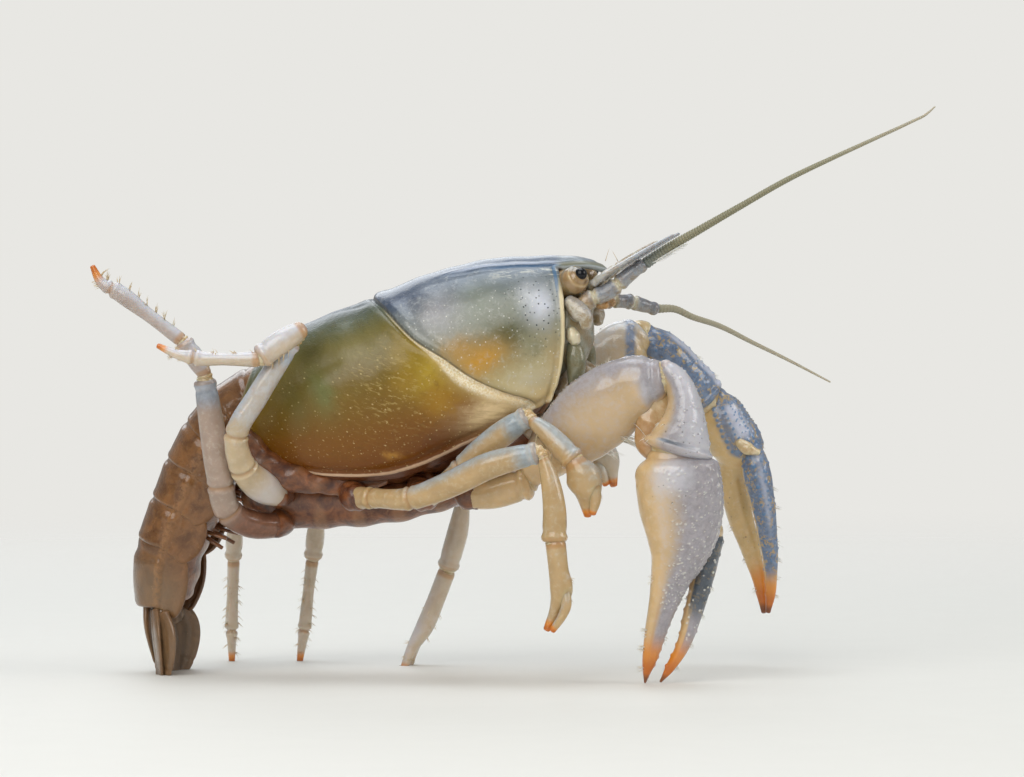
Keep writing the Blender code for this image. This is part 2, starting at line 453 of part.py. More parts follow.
def shell_section(place, turn, grow):
    """A point of the shell's side: forward place and how far round from the back line to the lower edge."""
    top = np.interp(place, SHELL_F, SHELL_TOP) + grow
    low = np.interp(place, SHELL_F, SHELL_LOW) - grow
    wide = np.interp(place, SHELL_F, SHELL_WIDE) + grow
    edge = wide * SHELL_EDGE_SHARE
    middle = low + (top - low) * ROUND_SHARE
    if turn <= 0.5:
        angle = turn * math.pi
        return wide * math.sin(angle), middle + (top - middle) * math.cos(angle)
    angle = (turn - 0.5) * math.pi
    return edge + (wide - edge) * math.cos(angle), middle - (middle - low) * math.sin(angle)


def shell_rings(grow):
    """Rings from the rear edge to the front edge that lean along the neck groove."""
    turns = np.linspace(-1.0, 1.0, 2 * ARC_STEPS + 1)
    stops = [("rear", s) for s in REAR_RINGS] + [("groove", 1.0)] + [("front", s) for s in FRONT_RINGS]
    rings = []
    for kind, share in stops:
        ring = []
        for turn in turns:
            side = abs(turn)
            rear = np.interp(side, ROUND_PLACE, REAR_EDGE)
            groove = np.interp(side, ROUND_PLACE, NECK_GROOVE)
            front = np.interp(side, ROUND_PLACE, FRONT_EDGE)
            place = groove + (front - groove) * share if kind == "front" else rear + (groove - rear) * share
            across, height = shell_section(place, side, grow)
            if kind == "groove":
                fade = min(1.0, max(0.0, (0.86 - side) / 0.12))
                shrink = 1.0 - GROOVE_DEPTH * fade / 6.0
                across, height = across * shrink, height * shrink
            if share == 0.0:
                place -= grow
            elif kind == "front" and share == 1.0:
                place += grow
            ring.append(in_body((place, math.copysign(across, turn), height)))
        edge, lift = ring[-1], ring[0]
        for k in range(1, UNDER_STEPS):
            ring.append(edge.lerp(lift, k / UNDER_STEPS))
        rings.append(ring)
    return rings


def beak_rows(grow):
    return [(*in_body((f, 0.0, u)), wide + grow, deep + grow) for f, u, wide, deep in BEAK]


def shell(name, grow=0.0):
    """The one-piece back shield, with the neck groove and the beak between the eyes."""
    up = tuple(BODY.col[2][:3])
    dome = skin_rings(name, shell_rings(grow))
    beak = skin_rings(name + "_beak", limb_rings(beak_rows(grow), up, 10, 8))
    return fuse(name, [dome, beak])


def body_block(name, table, count, grow=0.0, sides=12):
    """A block carried along the body's own forward axis, such as the plate between the legs."""
    rows = [(*in_body((f, 0.0, u)), wide, deep) for f, u, wide, deep in table]
    return limb(name, rows, tuple(BODY.col[2][:3]), sides, count, grow)


def tail_course(places):
    """Centres, directions along, across and outwards, and half sizes at places on the tail's middle line."""
    rows = np.array(TAIL_LINE)
    fine = np.linspace(0.0, len(rows) - 1.0, 201)
    line = eased(np.arange(len(rows), dtype=float), rows, fine)
    slide = -(line[:, 0] - BODY_PLACE[0]) * math.tan(math.radians(BODY_TURN))
    centre = np.stack([line[:, 0], slide, line[:, 1]], axis=1)
    along = np.gradient(centre, axis=0)
    along /= np.linalg.norm(along, axis=1)[:, None]
    out = np.cross(along, np.array(LEFT))
    out *= math.copysign(1.0, out[0][2]) / np.linalg.norm(out, axis=1)[:, None]

    def pick(table):
        return np.stack([np.interp(places, fine, column) for column in table.T], axis=1)

    return pick(centre), pick(along), pick(out), pick(line[:, 2:])


def tail_ring(centre, out, high, wide, flap):
    """One section of the tail: a round back, flaps down both sides and a hollow belly."""
    side = np.array(LEFT)
    ring = []
    for angle in np.linspace(-0.5, 0.5, 11) * math.pi:
        ring.append(centre + side * wide * math.sin(angle) + out * high * math.cos(angle))
    down = high * BELLY_SHARE + flap
    belly = ((1.0, 0.5 * down), (0.92, down), (0.76, 0.94 * down), (0.62, high * 0.5), (0.3, high * 0.62))
    right = [centre + side * wide * w - out * d for w, d in belly]
    left = [centre - side * wide * w - out * d for w, d in reversed(belly)]
    return ring + right + left


def tail_segment(index, grow=0.0):
    """One ring of the tail, with its side flaps and, on the middle ones, a pair of swimmerets."""
    start, end = TAIL_CUTS[index], TAIL_CUTS[index + 1]
    trim = (GAP / 2.0 - grow) / 3.0
    steps = np.linspace(start + trim, end - trim, 6)
    centre, _, out, size = tail_course(steps)
    share = np.linspace(0.0, 1.0, len(steps))
    swell = 0.96 + 0.06 * share
    flap = FLAP_REACH[index] * np.sin(np.clip(share, 0.0, 1.0) * math.pi) ** 0.4
    rings = [tail_ring(centre[i], out[i], size[i, 0] * swell[i] + grow, size[i, 1] * swell[i] + grow, flap[i])
             for i in range(len(steps))]
    body = skin_rings(f"tail_{index + 1}", rings)
    if not 1 <= index <= 4:
        return body
    middle = len(steps) // 2
    side = np.array(LEFT)
    pieces = [body]
    for sign in (-1.0, 1.0):
        root = centre[middle] + side * sign * 1.4 - out[middle] * size[middle, 0] * 0.2
        down = -out[middle] * (SWIMMERET_LENGTH if index > 1 else 0.6 * SWIMMERET_LENGTH)
        lean = side * sign * 0.35
        blade = [(*(root + down * t + lean * t), w, 0.26)
                 for t, w in ((0.0, 0.35), (0.4, 0.42), (0.75, 0.5), (1.0, 0.3))]
        pieces.append(limb("blade", blade, np.cross(down, side), 6, 5))
    return fuse(f"tail_{index + 1}", pieces)


def fan_piece(name, rows, sign, lean=0.0, sides=8, count=6, grow=0.0):
    """A blade of the tail fan, its flat side turned from the back towards the flank by the lean."""
    centre, along, out, _ = tail_course(np.array([TAIL_CUTS[-1]]))
    centre, along, out, side = centre[0], along[0], out[0], np.array(LEFT)
    table = [(*(centre + along * (a + GAP + 0.35) + side * c * sign + out * o), wide, deep)
             for a, c, o, wide, deep in rows]
    turn = math.radians(lean)
    facing = out * math.cos(turn) + side * sign * math.sin(turn)
    return limb(name, table, tuple(facing), sides, count, grow)


def paddles(name, sign):
    pieces = [fan_piece(name, PADDLE_STEM, sign, 30.0, count=4),
              fan_piece("inner", INNER_PADDLE, sign, INNER_LEAN), fan_piece("outer", OUTER_PADDLE, sign, OUTER_LEAN)]
    return fuse(name, pieces)


def edge_knobs(rows, depth_axis, start, end, number, radius, side):
    """Knobs set along one edge of a limb, their centres just under its surface."""
    rings = limb_rings(rows, depth_axis, 24, 60)[1:-1]
    spots = np.linspace(start, end, number)
    made = []
    for i, spot in enumerate(spots):
        ring = rings[int(round(spot * (len(rings) - 1)))]
        centre = ring.mean(axis=0)
        edge = ring[0] if side > 0 else ring[12]
        inward = (centre - edge) / np.linalg.norm(centre - edge)
        size = radius * (1.0 + 0.12 * math.sin(2.3 * i))
        made.append(knob("knob", edge + inward * size * 0.35, size))
    return made


def claw(prefix, table, depth_axis, knob_side):
    """The five named lengths of a claw arm. Each is cut clear of the one that carries it."""
    shapes = {"base": (10, 5), "arm": (14, 9), "wrist": (14, 7), "palm": (14, 15), "finger": (10, 11)}

    def length(part, grow=0.0, name=None):
        sides, count = shapes[part]
        return limb(name or f"{prefix}_{part}", table[part], depth_axis, sides, count, grow)

    made = {part: length(part) for part in ("base", "arm", "wrist")}
    palm_bits = edge_knobs(table["palm"], depth_axis, 0.08, 0.27, PALM_KNOBS, KNOB_RADIUS, knob_side)
    palm_bits += edge_knobs(table["palm"], depth_axis, 0.66, 0.92, FINGER_TEETH, TOOTH_RADIUS, knob_side)
    made["palm"] = fuse(f"{prefix}_palm", [length("palm")] + palm_bits)
    teeth = edge_knobs(table["finger"], depth_axis, 0.4, 0.85, FINGER_TEETH, TOOTH_RADIUS, -knob_side)
    made["finger"] = fuse(f"{prefix}_finger", [length("finger")] + teeth)
    cut(made["arm"], [length("base", GAP, "near_base")])
    cut(made["wrist"], [length("arm", GAP, "near_arm"), length("palm", GAP, "near_palm")])
    cut(made["finger"], [length("palm", GAP, "near_palm")])
    return made


def leg(prefix, table, depth_axis):
    """A walking leg in three lengths, the last ending in a pincer or a pointed toe."""
    made = {}
    last = "hand" if "hand" in table else "foot"
    shapes = {"upper": (9, 8), "shank": (8, 4), last: (8, 8)}

    def length(part, grow=0.0, name=None):
        sides, count = shapes[part]
        return limb(name or f"{prefix}_{part}", table[part], depth_axis, sides, count, grow)

    for part in ("upper", "shank", last):
        made[part] = length(part)
    if "thumb" in table:
        made[last] = fuse(f"{prefix}_{last}", [made[last], limb("thumb", table["thumb"], depth_axis, 7, 6)])
    cut(made["shank"], [length("upper", GAP, "near_upper")])
    cut(made[last], [length("shank", GAP, "near_shank")])
    return made


def eyes_and_feelers():
    """Eyes, both pairs of feelers with their scales, and the leg-like outer jaws."""
    made = {}
    for side, sign in (("right", -1.0), ("left", 1.0)):
        f, across, u = EYE_PLACE
        pupil_f, pupil_across, pupil_u = PUPIL_PLACE
        stalk_place = in_body((f, across * sign, u))
        pupil_place = in_body((pupil_f, pupil_across * sign, pupil_u))
        stalk = ball(f"eyestalk_{side}", stalk_place, EYE_BALL_RADIUS, 12, 8)
        made[f"eye_{side}"] = ball(f"eye_{side}", pupil_place, PUPIL_RADIUS, 10, 7)
        cut(stalk, [ball("near_eye", pupil_place, PUPIL_RADIUS + GAP * 0.5, 10, 7)])
        made[f"eyestalk_{side}"] = stalk
        rows = [(*in_body((a, b * sign, c)), r) for a, b, c, r in FEELERET]
        fork = [(*in_body((a, b * sign, c)), r) for a, b, c, r in FEELERET_FORK]
        made[f"antennule_{side}"] = fuse(f"antennule_{side}", [whip("stem", rows, 8), whip("fork", fork, 6)])
        scale = [(*in_body((a, b * sign, c)), wide, deep) for a, b, c, wide, deep in SCALE]
        made[f"antenna_scale_{side}"] = limb(f"antenna_scale_{side}", scale, tuple(BODY.col[2][:3]), 8, 7)
        jaw = [(*in_body((a, b * sign, c)), wide, deep) for a, b, c, wide, deep in JAW_LEG]
        palp = [(*in_body((a, b * sign, c)), wide, deep) for a, b, c, wide, deep in JAW_PALP]
        made[f"jaw_leg_{side}"] = fuse(f"jaw_leg_{side}", [limb("jaw", jaw, LEFT, 8, 7),
                                                          limb("palp", palp, LEFT, 6, 6)])
    stems = {"right": RIGHT_PEDUNCLE, "left": LEFT_PEDUNCLE}
    lashes = {"right": RIGHT_WHIP, "left": LEFT_WHIP}
    for side in stems:
        rows = [(*row, row[3]) for row in stems[side]]
        made[f"antenna_base_{side}"] = limb(f"antenna_base_{side}", rows, LEFT, 10, 10)
        made[f"antenna_{side}"] = whip(f"antenna_{side}", lashes[side], 18)
    return made


def eye_ball(side, grow):
    """The eye's ball grown by a gap, for clearing what lies beside it."""
    f, across, u = EYE_PLACE
    place = in_body((f, across * (-1.0 if side == "right" else 1.0), u))
    return ball("near_eyestalk", place, EYE_BALL_RADIUS + grow, 12, 8)


def grown_peduncle(side):
    rows = [(*row, row[3]) for row in (RIGHT_PEDUNCLE if side == "right" else LEFT_PEDUNCLE)]
    return limb("near_peduncle", rows, LEFT, 10, 10, GAP)


def fit_head(made):
    """Cuts the head's small pieces clear of the shell, the face and one another."""
    face = made["face"]
    cut(face, [shell("near_shell", GAP)])
    for side in ("right", "left"):
        near_face = body_block("near_face", FACE, 8, GAP)
        cut(made[f"eyestalk_{side}"], [near_face, shell("near_shell", GAP), grown_peduncle(side)])
        cut(made[f"eye_{side}"], [shell("near_shell", GAP)])
        near_face = body_block("near_face", FACE, 8, GAP)
        cut(made[f"antenna_base_{side}"], [near_face, shell("near_shell", GAP)])
        near_face = body_block("near_face", FACE, 8, GAP)
        cut(made[f"antenna_scale_{side}"], [near_face, grown_peduncle(side), eye_ball(side, GAP)])
        near_face = body_block("near_face", FACE, 8, GAP)
        beside = [near_face, shell("near_shell", GAP), grown_peduncle(side), eye_ball(side, GAP)]
        cut(made[f"antennule_{side}"], beside)
        cut(made[f"antenna_{side}"], [grown_peduncle(side)])
        near_face = body_block("near_face", FACE, 8, GAP)
        near_sternum = body_block("near_sternum", STERNUM, 9, GAP)
        cut(made[f"jaw_leg_{side}"], [near_face, near_sternum, shell("near_shell", GAP)])


def build():
    clear_scene()
    made = {"shell": shell("carapace"), "sternum": body_block("sternum", STERNUM, 9),
            "face": body_block("face", FACE, 8)}
    made.update(eyes_and_feelers())
    fit_head(made)
    cut(made["sternum"], [shell("near_shell", GAP)])
    facing = (0.0, 1.0, 0.0)
    outward = (1.0, 0.0, 0.0)
    limbs = {
        "claw_right": claw("claw_right", RIGHT_CLAW, facing, -1.0),
        "claw_left": claw("claw_left", LEFT_CLAW, facing, -1.0),
        "leg2_right": leg("leg2_right", RIGHT_LEG_2, facing),
        "leg3_right": leg("leg3_right", RIGHT_LEG_3, facing),
        "leg4_right": leg("leg4_right", RIGHT_LEG_4, facing),
        "leg5_right": leg("leg5_right", RIGHT_LEG_5, facing),
        "leg2_left": leg("leg2_left", LEFT_LEG_2, facing),
        "leg3_left": leg("leg3_left", LEFT_LEG_3, outward),
        "leg4_left": leg("leg4_left", LEFT_LEG_4, outward),
        "leg5_left": leg("leg5_left", LEFT_LEG_5, outward),
    }
    for prefix, parts in limbs.items():
        root = parts.get("base") or parts["upper"]
        cut(root, [body_block("near_sternum", STERNUM, 9, GAP), shell("near_shell", GAP)])
        for part, piece in parts.items():
            made[f"{prefix}_{part}"] = piece
    cut(made["claw_right_arm"], [shell("near_shell", GAP)])
    cut(made["claw_left_arm"], [shell("near_shell", GAP)])
    for index in range(6):
        made[f"tail_{index + 1}"] = tail_segment(index)
    for index in range(2):
        cut(made[f"tail_{index + 1}"], [shell("near_shell", GAP)])
    cut(made["tail_1"], [body_block("near_sternum", STERNUM, 9, GAP)])
    made["tail_fan_middle"] = fan_piece("tail_fan_middle", TELSON, 1.0)
    made["tail_fan_right"] = paddles("tail_fan_right", -1.0)
    made["tail_fan_left"] = paddles("tail_fan_left", 1.0)
    for side in ("right", "left"):
        cut(made[f"tail_fan_{side}"], [fan_piece("near_telson", TELSON, 1.0, grow=GAP)])
    for side in ("middle", "right", "left"):
        cut(made[f"tail_fan_{side}"], [tail_segment(5, GAP)])
    settle(made)
    return made


def settle(made):
    """Leans the whole animal a little to its right and rests it on small flats at the floor."""
    pivot = Matrix.Translation((0.0, 0.0, ROLL_HEIGHT * MM))
    lean = pivot @ Matrix.Rotation(math.radians(-ROLL), 4, "X") @ pivot.inverted()
    for piece in made.values():
        piece.data.transform(lean)
        if min(vert.co.z for vert in piece.data.vertices) < FLOOR * MM:
            cut(piece, [under_floor()])


def kind_of(name):
    for start, kind in (("carapace", "shell"), ("sternum", "underside"), ("face", "underside"), ("tail", "tail"),
                        ("claw", "claw"), ("leg", "limb"), ("eye_", "cornea"), ("eyestalk", "underside"),
                        ("jaw", "limb")):
        if name.startswith(start):
            return kind
    return "feeler"


def assemble(made):
    """Gives each node its paint and hangs it on one empty that stands at the middle of the footprint."""
    parts = bpy.data.collections.new("burrowing_bog_crayfish")
    bpy.context.scene.collection.children.link(parts)
    holder = bpy.data.objects.new("crayfish", None)
    parts.objects.link(holder)
    holder.location = Vector(MODEL_SHIFT) * MM
    for piece in made.values():
        for group in list(piece.users_collection):
            group.objects.unlink(piece)
        parts.objects.link(piece)
        piece.parent = holder
        finish_material(piece, kind_of(piece.name))


assemble(build())
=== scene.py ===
"""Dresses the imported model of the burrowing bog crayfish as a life-size museum piece.

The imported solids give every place. This file lays a finely shaped skin over each of them, with soft skin at
the joints, bristles, procedural finishes, a pale floor, soft light and the camera. Tables are in millimetres
in the animal's own layout, before it is leaned and set on the floor, and meshes are in metres in the frame.
"""

from math import copysign, cos, pi, radians, sin, tan

import bpy
import numpy as np
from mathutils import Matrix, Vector


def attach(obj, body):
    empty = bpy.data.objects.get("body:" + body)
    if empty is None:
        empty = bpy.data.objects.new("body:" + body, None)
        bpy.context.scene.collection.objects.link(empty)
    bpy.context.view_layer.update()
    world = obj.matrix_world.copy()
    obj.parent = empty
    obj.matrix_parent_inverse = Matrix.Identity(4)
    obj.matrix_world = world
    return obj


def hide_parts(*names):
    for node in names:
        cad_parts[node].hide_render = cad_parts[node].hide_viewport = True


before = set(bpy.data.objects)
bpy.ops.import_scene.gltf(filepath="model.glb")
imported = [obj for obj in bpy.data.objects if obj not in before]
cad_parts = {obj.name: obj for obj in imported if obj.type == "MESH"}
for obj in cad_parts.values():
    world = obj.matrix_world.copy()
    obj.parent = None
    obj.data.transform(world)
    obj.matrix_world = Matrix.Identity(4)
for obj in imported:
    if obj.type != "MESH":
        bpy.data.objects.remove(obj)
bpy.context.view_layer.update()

bl_info = {
    "name": "Burrowing Bog Crayfish",
    "version": (1, 0, 0),
    "blender": (4, 5, 0),
    "location": "3D View > Sidebar > Crayfish",
    "description": "Builds the shell, limbs, tail, head, bristles and stage of a life-size crayfish",
    "category": "Object",
}

MM = 0.001
# How the layout is leaned, set on the floor and moved sideways, and how the body stands in it.
LEAN = radians(3.0)
LEAN_HEIGHT = 22.2
FLOOR = 0.6
SHIFT_Y = -2.81
BODY_PITCH = radians(18.0)
BODY_TURN = radians(10.0)
BODY_PLACE = np.array((-8.4, 0.0, 22.9))
ACROSS = (0.0, 1.0, 0.0)
AHEAD = (1.0, 0.0, 0.0)
SIDES = (("right", -1.0), ("left", 1.0))

# The shield along its length: forward place, top, lower edge and greatest half width.
SHELL_F = (-12.2, -11.6, -10.6, -9.5, -8.2, -6.1, -4.4, -2.7, -0.9, 1.0, 3.7, 5.5, 7.3, 9.2, 11.0, 12.7, 14.4,
           15.8, 16.9, 17.9)
SHELL_TOP = (1.6, 2.9, 3.9, 4.65, 5.3, 6.02, 6.25, 6.38, 6.36, 6.58, 6.88, 6.86, 6.74, 6.56, 6.18, 5.7, 5.2,
             4.62, 3.98, 3.1)
SHELL_LOW = (-0.9, -2.3, -3.4, -4.1, -4.7, -5.65, -6.25, -6.7, -6.9, -6.85, -6.5, -6.25, -5.95, -5.6, -5.25,
             -4.9, -4.3, -4.2, -4.1, -4.0)
SHELL_WIDE = (4.3, 4.6, 5.0, 5.3, 5.65, 6.05, 6.25, 6.35, 6.35, 6.28, 6.0, 5.7, 5.35, 4.9, 4.4, 3.9, 3.3, 3.3,
              3.3, 3.3)
SHELL_EDGE_SHARE = 0.62
ROUND_SHARE = 0.52
ROUND_PLACE = (0.0, 0.1, 0.2, 0.3, 0.4, 0.5, 0.6, 0.7, 0.8, 0.9, 1.0)
REAR_EDGE = (-10.1, -10.2, -10.6, -11.2, -11.7, -12.1, -12.2, -12.0, -11.4, -10.5, -9.5)
NECK_GROOVE = (-0.1, 0.4, 1.25, 2.1, 3.15, 4.75, 6.25, 8.0, 9.6, 9.9, 9.2)
FRONT_PLACE = (0.0, 0.03, 0.06, 0.09, 0.115, 0.135, 0.15, 0.162, 0.172, 0.184, 0.2, 0.25, 0.3, 0.4, 0.5, 0.6,
               0.7, 0.8, 0.9, 1.0)
FRONT_EDGE = (17.6, 17.5, 17.15, 16.7, 16.2, 15.6, 15.1, 14.75, 14.45, 14.3, 14.25, 14.3, 14.3, 14.2, 13.9,
              13.4, 12.7, 11.85, 10.95, 10.1)

# The plate between the legs and the front of the head: forward place, centre height, half width, half height.
STERNUM = ((-13.4, -4.4, 1.6, 1.5), (-11.6, -5.4, 2.3, 2.3), (-7.0, -7.2, 2.6, 2.2), (-2.0, -8.6, 2.5, 1.7),
           (3.0, -8.5, 2.2, 1.6), (7.0, -7.3, 1.9, 1.4), (9.0, -6.5, 1.4, 1.1))
HIND_FLESH = ((-20.3, -2.6, 18.4, 1.4, 1.3), (-19.0, -2.7, 17.0, 1.5, 1.4), (-17.2, -2.7, 16.0, 1.2, 1.2),
              (-15.0, -2.7, 15.5, 1.0, 0.9), (-12.5, -2.6, 15.3, 0.8, 0.6), (-9.5, -2.6, 15.6, 0.5, 0.4))
FACE = ((9.6, -1.6, 3.0, 3.3), (11.6, -1.1, 3.0, 3.1), (12.8, -0.4, 2.9, 2.7), (13.8, 0.4, 2.6, 2.1),
        (14.6, 1.0, 2.2, 1.5), (15.2, 1.3, 1.3, 0.8))
EYE_PLACE = (15.3, 2.2, 3.06)
EYE_BALL_RADIUS = 1.05
PUPIL_PLACE = (15.99, 2.72, 3.36)
PUPIL_RADIUS = 0.47

# The tail's middle line in the plane of the body: x and height, then half height and half width.
TAIL_LINE = ((-17.9, 21.9, 2.4, 3.5), (-19.4, 21.1, 2.5, 3.7), (-20.9, 19.9, 2.6, 3.9),
             (-22.4, 18.1, 2.6, 3.9), (-23.6, 15.8, 2.6, 3.8), (-24.7, 13.1, 2.55, 3.6),
             (-25.8, 10.3, 2.45, 3.4), (-26.35, 7.5, 2.3, 3.1), (-26.4, 4.6, 1.8, 2.6))
TAIL_CUTS = (0.5, 1.6, 2.7, 3.75, 4.8, 5.85, 7.45)
FLAP_REACH = (0.2, 0.9, 1.2, 1.2, 1.15, 0.8)

# Limbs are rows of x, y, height, half width across the bend plane and half thickness.
RIGHT_CLAW = {
    "base": ((-3.2, -4.3, 14.6, 1.1, 1.0), (-1.2, -5.0, 14.8, 1.15, 1.05), (1.0, -5.5, 15.5, 1.15, 1.1)),
    "arm": ((1.4, -5.6, 16.0, 0.95, 0.9), (2.2, -6.0, 17.2, 1.6, 1.15), (3.6, -6.4, 18.6, 2.3, 1.35),
            (5.0, -6.8, 19.8, 2.75, 1.5), (6.5, -7.3, 21.1, 2.9, 1.7), (8.2, -7.8, 22.4, 2.6, 1.8),
            (9.7, -8.3, 23.2, 2.1, 1.7), (10.8, -8.6, 23.4, 1.45, 1.3)),
    "wrist": ((11.2, -8.8, 24.5, 0.6, 0.8), (12.1, -8.9, 23.4, 0.95, 1.3), (12.6, -9.1, 21.8, 1.25, 1.75),
              (12.6, -9.25, 20.5, 1.65, 1.95), (12.4, -9.35, 19.4, 2.15, 2.0),
              (12.15, -9.4, 18.5, 2.55, 1.95)),
    "palm": ((12.0, -9.4, 17.9, 2.2, 1.4), (12.05, -9.4, 17.3, 2.85, 1.75), (12.2, -9.4, 16.2, 3.12, 1.92),
             (12.33, -9.35, 14.9, 3.15, 1.98), (12.45, -9.3, 13.4, 3.0, 1.9), (12.4, -9.3, 12.0, 2.65, 1.75),
             (12.15, -9.2, 10.5, 2.1, 1.5), (11.7, -9.1, 9.1, 1.52, 1.25), (11.3, -9.05, 7.6, 1.14, 1.05),
             (10.88, -9.0, 6.1, 0.9, 0.9), (10.52, -8.9, 4.6, 0.72, 0.72), (10.18, -8.8, 3.1, 0.54, 0.54),
             (9.95, -8.7, 1.95, 0.3, 0.32), (9.8, -8.62, 1.1, 0.08, 0.1)),
    "finger": ((14.9, -8.4, 12.4, 0.6, 0.7), (14.75, -8.2, 11.4, 0.75, 0.8), (14.5, -8.2, 10.4, 0.78, 0.8),
               (14.12, -8.2, 9.0, 0.8, 0.75), (13.7, -8.25, 7.5, 0.76, 0.7), (13.3, -8.3, 6.1, 0.66, 0.62),
               (12.88, -8.4, 4.6, 0.52, 0.52), (12.28, -8.5, 3.2, 0.4, 0.42), (11.6, -8.5, 2.1, 0.28, 0.3),
               (10.95, -8.5, 1.15, 0.08, 0.1)),
}
LEFT_CLAW = {
    "base": ((-3.4, 3.0, 14.4, 1.1, 1.0), (-1.6, 3.7, 14.3, 1.15, 1.05), (0.3, 4.3, 14.8, 1.15, 1.1)),
    "arm": ((0.7, 4.5, 15.3, 0.95, 0.9), (2.6, 4.9, 16.4, 1.6, 1.15), (5.0, 5.5, 18.8, 2.4, 1.4),
            (6.9, 6.2, 21.9, 2.75, 1.7), (8.0, 6.6, 24.0, 2.65, 1.75), (9.0, 6.9, 25.3, 2.0, 1.5),
            (9.6, 7.1, 25.8, 1.4, 1.15)),
    "wrist": ((10.1, 7.4, 25.9, 0.95, 0.9), (10.7, 7.5, 25.1, 1.5, 1.4), (11.8, 7.8, 24.0, 1.75, 1.65),
              (13.1, 8.2, 22.6, 1.8, 1.7), (14.2, 8.5, 21.5, 1.75, 1.65), (14.8, 8.65, 20.9, 1.6, 1.5)),
    "palm": ((15.5, 9.0, 20.9, 1.1, 1.0), (15.95, 9.2, 19.8, 1.7, 1.6), (16.6, 9.4, 18.3, 2.0, 1.95),
             (17.3, 9.6, 16.9, 2.05, 2.1), (17.3, 9.8, 15.8, 1.65, 1.75), (16.95, 9.9, 14.8, 1.2, 1.35),
             (17.15, 9.9, 13.3, 1.05, 1.15), (17.55, 9.9, 11.7, 0.95, 1.0), (18.0, 9.9, 10.3, 0.82, 0.9),
             (18.5, 9.8, 8.7, 0.66, 0.75), (18.95, 9.7, 7.1, 0.5, 0.58), (19.25, 9.6, 5.5, 0.35, 0.42),
             (19.4, 9.5, 4.3, 0.22, 0.26)),
    "finger": ((17.9, 8.9, 17.2, 0.7, 0.6), (18.5, 7.95, 16.2, 1.0, 0.75), (18.75, 7.8, 15.0, 1.1, 0.85),
               (19.1, 7.9, 13.4, 0.98, 0.85), (19.4, 8.0, 11.7, 0.84, 0.76), (19.6, 8.1, 10.2, 0.7, 0.66),
               (19.8, 8.3, 8.7, 0.56, 0.56), (19.9, 8.5, 7.1, 0.42, 0.45), (19.85, 8.6, 5.6, 0.32, 0.34),
               (19.7, 8.7, 4.4, 0.2, 0.22)),
}
RIGHT_LEG_2 = {
    "upper": ((-6.6, -3.9, 14.3, 0.95, 0.9), (-5.6, -5.0, 14.9, 0.8, 0.75), (-4.4, -5.7, 16.0, 0.8, 0.75),
              (-2.6, -6.6, 17.8, 0.92, 0.85), (-0.4, -7.4, 19.6, 0.95, 0.85), (1.0, -7.9, 20.6, 0.8, 0.74)),
    "shank": ((1.5, -8.2, 20.4, 0.5, 0.5), (2.6, -8.7, 19.5, 0.75, 0.7), (4.4, -9.4, 17.7, 0.9, 0.8)),
    "hand": ((4.7, -9.5, 17.3, 0.85, 0.85), (5.2, -9.6, 16.4, 1.3, 1.0), (5.5, -9.6, 15.4, 1.1, 0.85),
             (5.5, -9.4, 14.5, 0.62, 0.5), (5.55, -9.3, 13.5, 0.28, 0.28)),
    "thumb": ((6.0, -9.9, 15.7, 0.5, 0.45), (6.1, -10.0, 14.7, 0.42, 0.38), (5.9, -9.9, 13.7, 0.26, 0.26)),
}
RIGHT_LEG_3 = {
    "upper": ((-11.8, -3.5, 14.3, 0.95, 0.9), (-10.3, -5.0, 14.4, 0.75, 0.72), (-7.4, -7.2, 14.6, 0.85, 0.78),
              (-4.8, -8.2, 15.6, 0.98, 0.88), (-1.6, -9.3, 17.2, 1.0, 0.88), (1.7, -10.4, 18.2, 0.8, 0.74)),
    "shank": ((2.3, -10.6, 17.8, 0.45, 0.5), (2.8, -10.8, 16.1, 0.7, 0.68), (3.1, -11.0, 14.1, 0.85, 0.76),
              (3.1, -11.2, 12.0, 0.92, 0.8)),
    "hand": ((3.2, -11.2, 11.5, 0.75, 0.75), (3.4, -11.3, 9.7, 0.74, 0.7), (3.6, -11.3, 8.1, 0.82, 0.68),
             (3.25, -11.1, 6.9, 0.5, 0.45), (2.55, -11.0, 5.3, 0.26, 0.26)),
    "thumb": ((3.9, -11.5, 8.2, 0.38, 0.4), (3.95, -11.75, 7.1, 0.38, 0.36), (3.45, -11.7, 6.0, 0.3, 0.3),
              (2.95, -11.5, 5.3, 0.25, 0.25)),
}
RIGHT_LEG_4 = {
    "upper": ((-17.3, -2.4, 14.3, 0.85, 0.8), (-18.6, -4.2, 15.2, 1.2, 1.05), (-19.9, -6.0, 16.8, 1.0, 0.9),
              (-20.3, -7.3, 19.3, 0.85, 0.8), (-18.7, -7.5, 22.2, 0.82, 0.78),
              (-16.3, -7.5, 26.0, 0.72, 0.7)),
    "shank": ((-15.6, -7.7, 27.0, 0.72, 0.62), (-16.9, -8.2, 26.2, 0.9, 0.75),
              (-18.3, -8.5, 25.2, 0.88, 0.74)),
    "foot": ((-18.8, -8.6, 24.95, 0.58, 0.54), (-21.0, -8.5, 24.95, 0.46, 0.44),
             (-23.4, -8.4, 25.05, 0.52, 0.46), (-24.6, -8.2, 25.3, 0.36, 0.32),
             (-26.0, -8.0, 25.9, 0.2, 0.2)),
}
